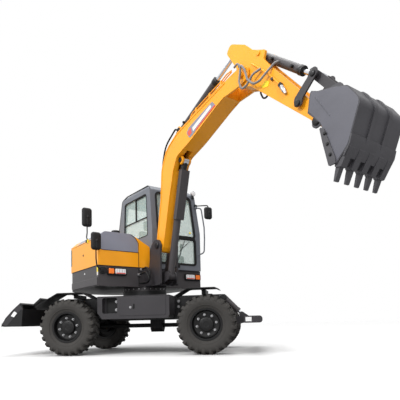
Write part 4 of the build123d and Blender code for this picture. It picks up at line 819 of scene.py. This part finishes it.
# Boom, arm and bucket. Edges and outlines are x and z, with corner radius where they have a third column

BOOM_TOP = [(0.612, 1.7), (0.735, 2.28), (0.757, 2.52), (0.774, 2.7), (0.812, 2.8), (0.905, 2.958),
            (0.985, 3.02), (1.18, 3.118), (1.4, 3.168), (2.25, 3.344)]
BOOM_BELLY = [(2.24, 3.162), (2.1, 3.118), (1.58, 2.912), (1.5, 2.884), (1.235, 2.806), (1.18, 2.775),
              (1.095, 2.63), (1.06, 2.52)]
# The blank strip's layers. Columns: outline, distance out of the boom's side, distance into it, surface
STRIP = [
    ([(1.434, 3.027, 0.03), (1.505, 2.937, 0.01), (1.562, 2.946), (2.07, 3.136, 0.01), (2.003, 3.212, 0.03),
      (1.494, 3.086, 0.01)], 0.003, 0.002, "hood"),
    ([(1.572, 3.05, 0.01), (1.592, 2.992, 0.01), (2, 3.146, 0.02), (1.965, 3.186, 0.02)], 0.005, 0, "pale"),
    ([(1.452, 3.026, 0.02), (1.498, 2.962, 0.01), (1.56, 2.985), (1.54, 3.07, 0.01)], 0.005, 0, "red"),
    ([(1.64, 2.976), (2.066, 3.134), (2.052, 3.15), (1.66, 3.004)], 0.005, 0, "red"),
]
# Pins. Columns: x and z, radius of the head, half width of the lugs, surface
BOOM_PINS = [(FOOT_PIN, 0.046, 0.178, "black"), (TIP_PIN, 0.036, 0.142, "amber"),
             (BOOM_EYE, 0.036, 0.078, "black"), (ARM_BASE, 0.03, 0.066, "black")]
ARM_PINS = [(ROCKER_FOOT, 0.032, 0.156, "black"), (BUCKET_PIN, 0.042, 0.132, "black"),
            (BUCKET_BASE, 0.026, 0.105, "amber")]
PIN_SEAT = 0.004


def make_boom_trim():
    """Edge flanges, blank strip, hoses over the knee, pipes with clamps along the top, and pin heads."""
    shape = Shape()
    for sign in (-1, 1):
        low, high = span(sign, BOOM_SIDE - 0.004, BOOM_SIDE + 0.006)
        ribbon(shape, BOOM_TOP, 0.02, low, high, "amber")
        ribbon(shape, BOOM_BELLY, 0.016, low, high, "amber")
    for rows, out, into, look in STRIP:
        prism(shape, rows, -BOOM_SIDE - out, -BOOM_SIDE + into, "y", look, 0.0005)
    for y in (-0.075, 0.075):
        pipe(shape, [(0.735, y, 2.55), (0.742, y, 2.84), (0.825, y, 3.085), (1.1, y, 3.235), (1.15, y, 3.2)],
             0.012, "seal", 0.3)
        cuboid(shape, (0.715, y - 0.02, 2.53), (0.765, y + 0.02, 2.57), "seal", 0.004)
        lathe(shape, [(0.02, 0), (0.02, 0.04), (0.012, 0.05)], (1.15, y, 3.12), (-0.1, 0, 1), "seal", 16)
    y = -0.11
    for lift in (0.02, 0.058):
        pipe(shape, [(1.5, y, 3.185), (1.56, y, 3.201 + lift), (2.18, y, 3.332 + lift),
                     (2.28, y, 3.368 + lift), (2.4, y - 0.03, 3.37 + lift * 0.5)], 0.008, "amber", 0.05)
    for u, z in ((1.66, 3.222), (1.95, 3.282), (2.18, 3.33)):
        cuboid(shape, (u - 0.012, -0.122, z - 0.03), (u + 0.012, -0.1, z + 0.07), "amber", 0.003)
    for pin, radius, out, look in BOOM_PINS:
        pin_heads(shape, pin, out - PIN_SEAT, radius, radius * 0.85, (0, 0.006, 0.012), look)
    shape.piece("boom_trim", "boom")


SIGN = [(2.895, 3.04), (2.946, 3.001), (2.923, 2.956), (2.853, 2.974), (2.822, 3.006)]
# Hoses from the boom to the arm
ARM_HOSES = {
    "arm_hose_a": [(2.46, -0.15, 3.4), (2.525, -0.158, 3.412), (2.578, -0.16, 3.34), (2.545, -0.16, 3.18),
                   (2.58, -0.16, 3.075), (2.66, -0.158, 3.078), (2.755, -0.15, 3.165), (2.85, -0.118, 3.19)],
    "arm_hose_b": [(2.53, -0.14, 3.375), (2.6, -0.168, 3.345), (2.65, -0.172, 3.27), (2.69, -0.172, 3.13),
                   (2.775, -0.168, 3.035), (2.86, -0.158, 3.03), (2.945, -0.14, 3.085), (3.02, -0.095, 3.165),
                   (3.05, -0.06, 3.185)],
}


def make_arm_trim():
    """Blank yellow sign, pipe runs with valves, hose loop, pin heads, and the hoses from the boom."""
    shape = Shape()
    prism(shape, SIGN, -ARM_SIDE - 0.004, -ARM_SIDE + 0.001, "y", "yellow", 0.001)
    for sign in (-1, 1):
        y = sign * (ARM_SIDE + 0.014)
        pipe(shape, [(2.7, y, 3.33), (2.802, y, 3.23), (2.984, y, 3.037), (3.103, y, 2.878)], 0.009,
             "amber", 0.03)
        low, high = span(sign, ARM_SIDE - 0.002, 0.122)
        cuboid(shape, (2.982, low, 2.985), (3.014, high, 3.014), "skirt", 0.005)
        turn = Matrix.Rotation(math.radians(62), 4, "Y")
        shape.at = Matrix.Translation((3.117, sign * 0.112, 2.859)) @ turn
        cuboid(shape, (-0.035, -0.018, -0.022), (0, 0.018, 0.022), "black", 0.004)
        lathe(shape, [(0.017, 0), (0.023, 0.01), (0.023, 0.075), (0.017, 0.085), (0.015, 0.12),
                      (0.001, 0.122)], (0, 0, 0), (1, 0, 0), "steel", 20)
        shape.at = STILL
    pipe(shape, [(2.721, 0, 3.045), (2.725, 0, 3), (2.755, 0, 2.935), (2.8, 0, 2.918), (2.85, 0, 2.955)],
         0.01, "seal", 0.06)
    for pin, radius, out, look in ARM_PINS:
        pin_heads(shape, pin, out - PIN_SEAT, radius, radius * 0.8, (-0.01, 0.004, 0.009), look)
    shape.piece("arm_trim", "arm")
    for name, line in ARM_HOSES.items():
        hose = Shape()
        pipe(hose, line, 0.0125, "hose", 0.09, 14)
        piece = hose.piece(name, None)
        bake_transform(piece)


# The bucket's outer side plate, and the section of the plate along its lip
BUCKET_PLATE = [(3.612, 2.3), (3.648, 2.472, 0.02), (3.72, 2.434), (3.888, 2.392, 0.06), (4.004, 2.344, 0.06),
                (4.104, 2.19, 0.09), (3.98, 1.866), (3.866, 1.75), (3.796, 1.985, 0.04), (3.731, 2.15, 0.03)]
LIP = [(4.026, 1.94), (4.004, 1.868), (3.942, 1.778), (3.928, 1.79), (3.985, 1.87), (4.008, 1.946)]


def make_bucket_trim():
    """Side plates in a lighter grey as painted light, the shell's darker grey being painted shade, with a
    seam, bolts of the side cutters, lip plate and pin heads.
    """
    shape = Shape()
    for sign in (-1, 1):
        prism(shape, BUCKET_PLATE, *span(sign, BUCKET_SIDE - 0.001, BUCKET_SIDE + TRIM), "y", "bucket", 0.001)
        seam = sign * (BUCKET_SIDE + TRIM)
        pipe(shape, [(3.69, seam, 2.4), (3.83, seam, 2.17)], 0.004, "bucket")
        for u, z in ((3.778, 2.03), (3.8, 1.93), (3.822, 1.83)):
            bolt(shape, (u, sign * (BUCKET_SIDE + 0.012), z), (0, sign, 0), 0.013, 0.012, "black")
    pin_heads(shape, BUCKET_EAR, 0.13, 0.034, 0.026, (-0.01, 0.003, 0.008), "black")
    # The lip plate in the shell's darker grey of painted shade
    prism(shape, LIP, -BUCKET_SIDE - 0.004, BUCKET_SIDE + 0.004, "y", "bucket_painted_shade", 0.003)
    shape.piece("bucket_trim", "bucket")
    pins = Shape()
    pin_heads(pins, ROCKER_TOP, 0.152, 0.03, 0.022, (-0.006, 0.003, 0.008), "black")
    pins.piece("rocker_pins", "rockers")


# Barrels. Columns: cylinder, base, eye, radius, length, side of the ports, their shares of the length
BARRELS = [
    ("boom", BOOM_BASE, BOOM_EYE, 0.052, 0.89, 1, (0.16,)),
    ("arm", ARM_BASE, ARM_EYE, 0.05, 0.88, -1, (0.16,)),
    ("bucket", BUCKET_BASE, ROCKER_TOP, 0.046, 0.69, -1, (0.3, 0.8)),
]


def cylinder_line(base, eye):
    """A cylinder's base and eye in the middle plane, and the direction between them."""
    start, end = (Vector((point[0], 0, point[1])) for point in (base, eye))
    return start, end, (end - start).normalized()


def make_barrel_trim():
    """Gland ring and ports on each of the three big cylinders."""
    for name, base, eye, radius, length, port_side, ports in BARRELS:
        shape = Shape()
        start, _, way = cylinder_line(base, eye)
        across = Vector((0, port_side, 0))
        rows = [(radius + 0.002, -0.06), (radius + 0.0055, -0.055), (radius + 0.0055, -0.008),
                (radius + 0.002, 0.002), (radius - 0.006, 0.003)]
        lathe(shape, rows, start + way * length, way, "black", 36)
        for share in ports:
            spot = start + way * length * share + across * (radius + 0.012)
            lathe(shape, [(0.018, -0.016), (0.018, 0.012), (0.012, 0.018), (0.001, 0.018)], spot, across,
                  "black", 16)
        shape.piece(name + "_barrel_trim", name + "_cylinder_barrel")


def make_rod_sleeve():
    """Black collar at the top of the boom cylinder's rod."""
    _, eye, way = cylinder_line(BOOM_BASE, BOOM_EYE)
    shape = Shape()
    lathe(shape, [(0.036, -0.15), (0.044, -0.14), (0.05, -0.04), (0.05, -0.03)], eye, way, "black", 28)
    shape.piece("rod_collar", "boom_cylinder_rod")


make_boom_trim()
make_rod_sleeve()
make_arm_trim()
make_bucket_trim()
make_barrel_trim()


# Undercarriage

def make_chassis_trim():
    """Doors, pocket floors, latches and bolts of the side boxes, frame bolts, and the slew ring's bolts."""
    shape = Shape()
    for sign in (-1, 1):
        rows = [(-0.165, 0.562, 0.006), (0.52, 0.562, 0.03), (0.52, 0.836, 0.012), (-0.165, 0.836, 0.006)]
        prism(shape, rows, *span(sign, BOX_SIDE - 0.002, BOX_SIDE + 0.005), "y", "box", 0.003)
        prism(shape, oblong(-0.395, -0.195, 0.61, 0.84, 0.02),
              *span(sign, BOX_SIDE - 0.092, BOX_SIDE - 0.086), "y", "cast", 0.001)
        for x, z in ((-0.24, 0.775), (-0.24, 0.655)):
            bolt(shape, (x, sign * (BOX_SIDE - 0.088), z), (0, sign, 0), 0.017, 0.02, "steel")
        bolt(shape, (-0.002, sign * (BOX_SIDE + 0.004), 0.683), (0, sign, 0), 0.013, 0.012, "steel")
        prism(shape, [(0.03, 0.655, 0.008), (0.062, 0.665, 0.008), (0.062, 0.735, 0.008),
                      (0.04, 0.735, 0.008)], *span(sign, BOX_SIDE + 0.004, BOX_SIDE + 0.01), "y", "seal")
        for x, z in ((0.615, 0.775), (0.615, 0.69)):
            bolt(shape, (x, sign * 0.321, z), (0, sign, 0), 0.016, 0.02, "steel")
    shape.piece("chassis_trim", "chassis", STILL)
    bolts = Shape()
    for k in range(RING_BOLTS):
        a = 2 * math.pi * k / RING_BOLTS
        way = Vector((math.cos(a), math.sin(a), 0))
        bolt(bolts, way * RING_BOLT_CIRCLE + Vector((0, 0, 0.985)), way, 0.01, 0.012, "steel", washer=False)
    bolts.piece("ring_bolts", "superstructure", STILL)


def make_blade_trim():
    """Lighter end plates and blank stickers on the blade and the stabilizer."""
    shape = Shape()
    rows = [(-1.955, 0.478), (-1.87, 0.452), (-1.64, 0.69, 0.01), (-1.605, 0.695), (-1.665, 0.762),
            (-1.74, 0.7)]
    sticker = [(-1.8, 0.6), (-1.75, 0.58), (-1.7, 0.64), (-1.745, 0.668)]
    for sign in (-1, 1):
        low, high = span(sign, BLADE_SIDE, BLADE_SIDE + 0.0045)
        prism(shape, rows, low, high, "y", "box", 0.001)
        prism(shape, sticker, low - 0.0015, high + 0.0015, "y", "white", 0.0005)
    shape.piece("blade_trim", "blade", STILL)
    bar = Shape()
    for sign in (-1, 1):
        low, high = span(sign, BLADE_SIDE, BLADE_SIDE + 0.0035)
        prism(bar, oblong(1.636, 1.716, 0.445, 0.503), low, high, "y", "white", 0.0005)
    bar.piece("stabilizer_trim", "stabilizer", STILL)


def make_side_boxes():
    """The side boxes with the photograph's lower top, closed by a lid."""
    bm = bmesh.new()
    bm.from_mesh(nodes["side_boxes"].data)
    bm.transform(nodes["side_boxes"].matrix_world)
    bmesh.ops.bisect_plane(bm, geom=[*bm.verts, *bm.edges, *bm.faces], plane_co=(0, 0, BOX_TOP - 0.006),
                           plane_no=(0, 0, 1), clear_outer=True)
    shape = Shape(bm)
    for face in bm.faces:
        face.material_index = shape.index("box")
    low = BOX_TOP - 0.012
    rows = [(-0.505, low, 0.003), (0.57, low, 0.003), (0.57, BOX_TOP, 0.006), (-0.505, BOX_TOP, 0.006)]
    for sign in (-1, 1):
        prism(shape, rows, *span(sign, 0.4, BOX_SIDE), "y", "box")
    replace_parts(shape.piece("boxes", "chassis", STILL), "side_boxes")


def make_belly():
    """Two guard plates and four lines under the frame."""
    shape = Shape()
    for x_low, x_high in ((-0.3, 0.08), (0.32, 0.52)):
        cuboid(shape, (x_low, -0.27, 0.512), (x_high, 0.27, 0.56), "cast", 0.01)
    for y in (-0.25, -0.21, 0.21, 0.25):
        pipe(shape, [(-0.75, y, 0.6), (-0.42, y, 0.545), (0.46, y, 0.53), (0.8, y, 0.6)], 0.013, "seal", 0.08)
    shape.piece("belly", "chassis", STILL)


def make_foot_hoses():
    """Hoses that loop from the bulkhead to the swing of the boom's foot."""
    shape = Shape()
    for y, z, reach in ((-0.27, 1.2, 0.62), (-0.23, 1.28, 0.58), (0.23, 1.24, 0.6)):
        pipe(shape, [(0.3, y, z), (reach - 0.1, y, z + 0.02), (reach, y, z - 0.1), (reach - 0.06, y, 1.06),
                     (0.33, y, 1.06)], 0.014, "seal", 0.09)
        lathe(shape, [(0.022, 0), (0.022, 0.03), (0.016, 0.04)], (0.29, y, z), (1, 0, 0), "steel", 16)
    shape.piece("foot_hoses")


make_side_boxes()
make_chassis_trim()
make_belly()
make_foot_hoses()
make_blade_trim()


# Camera, floor and light

def place_camera():
    """The camera at the photograph's viewing angle and frame."""
    yaw, pitch, roll = CAMERA_TURN
    ahead = Vector((math.sin(yaw) * math.cos(pitch), math.cos(yaw) * math.cos(pitch), math.sin(pitch)))
    right = Vector((math.cos(yaw), -math.sin(yaw), 0))
    up = right.cross(ahead)
    side = math.cos(roll) * right + math.sin(roll) * up
    top = -math.sin(roll) * right + math.cos(roll) * up
    turned = Matrix((side, top, -ahead)).transposed()
    data = bpy.data.cameras.new("camera")
    data.sensor_width = SENSOR
    data.lens = SENSOR * FOCAL_PIXELS / PICTURE
    data.shift_x = (PICTURE / 2 - AXIS_PIXEL[0]) / PICTURE
    data.shift_y = (AXIS_PIXEL[1] - PICTURE / 2) / PICTURE
    data.clip_start = 0.05
    data.clip_end = 200
    camera = bpy.data.objects.new("camera", data)
    camera.matrix_world = Matrix.Translation(CAMERA_PLACE) @ turned.to_4x4()
    scene.collection.objects.link(camera)
    scene.camera = camera


def place_floor():
    """A pale floor that fades away from the machine and throws back less light than it shows."""
    mesh = bpy.data.meshes.new("floor")
    h = FLOOR_HALF
    mesh.from_pydata([(-h, -h, 0), (h, -h, 0), (h, h, 0), (-h, h, 0)], [], [(0, 1, 2, 3)])
    floor = bpy.data.objects.new("floor", mesh)
    scene.collection.objects.link(floor)
    tree, shader = new_material("floor", (0.7, 0.7, 0.7), 0.9)
    place = add_node(tree, "TexCoord")
    length = add_node(tree, "VectorMath")
    length.operation = "LENGTH"
    fade = add_node(tree, "MapRange", From_Min=FLOOR_NEAR[0], From_Max=FLOOR_FAR[0], To_Min=FLOOR_NEAR[1],
                    To_Max=FLOOR_FAR[1])
    path = add_node(tree, "LightPath")
    choose = add_node(tree, "Mix", A=FLOOR_BOUNCE)
    wire(tree, (place, "Object", length, 0), (length, "Value", fade, "Value"), (fade, "Result", choose, "B"),
         (path, "Is Camera Ray", choose, "Factor"), (choose, "Result", shader, "Base Color"))
    mesh.materials.append(MATERIAL["floor"])


# Area lights. Columns: name, place, target, size, power.
LIGHTS = [
    ("key", (-4.5, -7.5, 7), (0.6, -0.6, 1.6), 3, 560),
    ("fill", (4.5, -8, 7), (0.6, -0.6, 1.4), 5, 300),
    ("top", (0.5, 0.5, 9), (0.5, -0.5, 1), 6, 360),
]


def place_lights():
    """The area lights, and a sky that lights from one side and looks white."""
    for name, spot, target, size, power in LIGHTS:
        data = bpy.data.lights.new(name, "AREA")
        data.shape = "DISK"
        data.size = size
        data.energy = power
        light = bpy.data.objects.new(name, data)
        aim = Vector(target) - Vector(spot)
        light.rotation_euler = aim.to_track_quat("-Z", "Y").to_euler()
        light.location = spot
        scene.collection.objects.link(light)
    world = bpy.data.worlds.new("world")
    world.use_nodes = True
    tree = world.node_tree
    sky = tree.nodes["Background"]
    sky.inputs["Color"].default_value = (1, 1, 1, 1)
    place = add_node(tree, "TexCoord")
    lean = add_node(tree, "VectorMath")
    lean.operation = "DOT_PRODUCT"
    lean.inputs[1].default_value = SKY_SIDE
    shade = add_node(tree, "MapRange", From_Min=-1, To_Min=SKY_LOW, To_Max=SKY_HIGH)
    path = add_node(tree, "LightPath")
    choose = add_node(tree, "Mix", B=1)
    wire(tree, (place, "Generated", lean, 0), (lean, "Value", shade, "Value"), (shade, "Result", choose, "A"),
         (path, "Is Camera Ray", choose, "Factor"), (choose, "Result", sky, "Strength"))
    scene.world = world
    scene.view_settings.view_transform = "Standard"


place_camera()
place_floor()
place_lights()
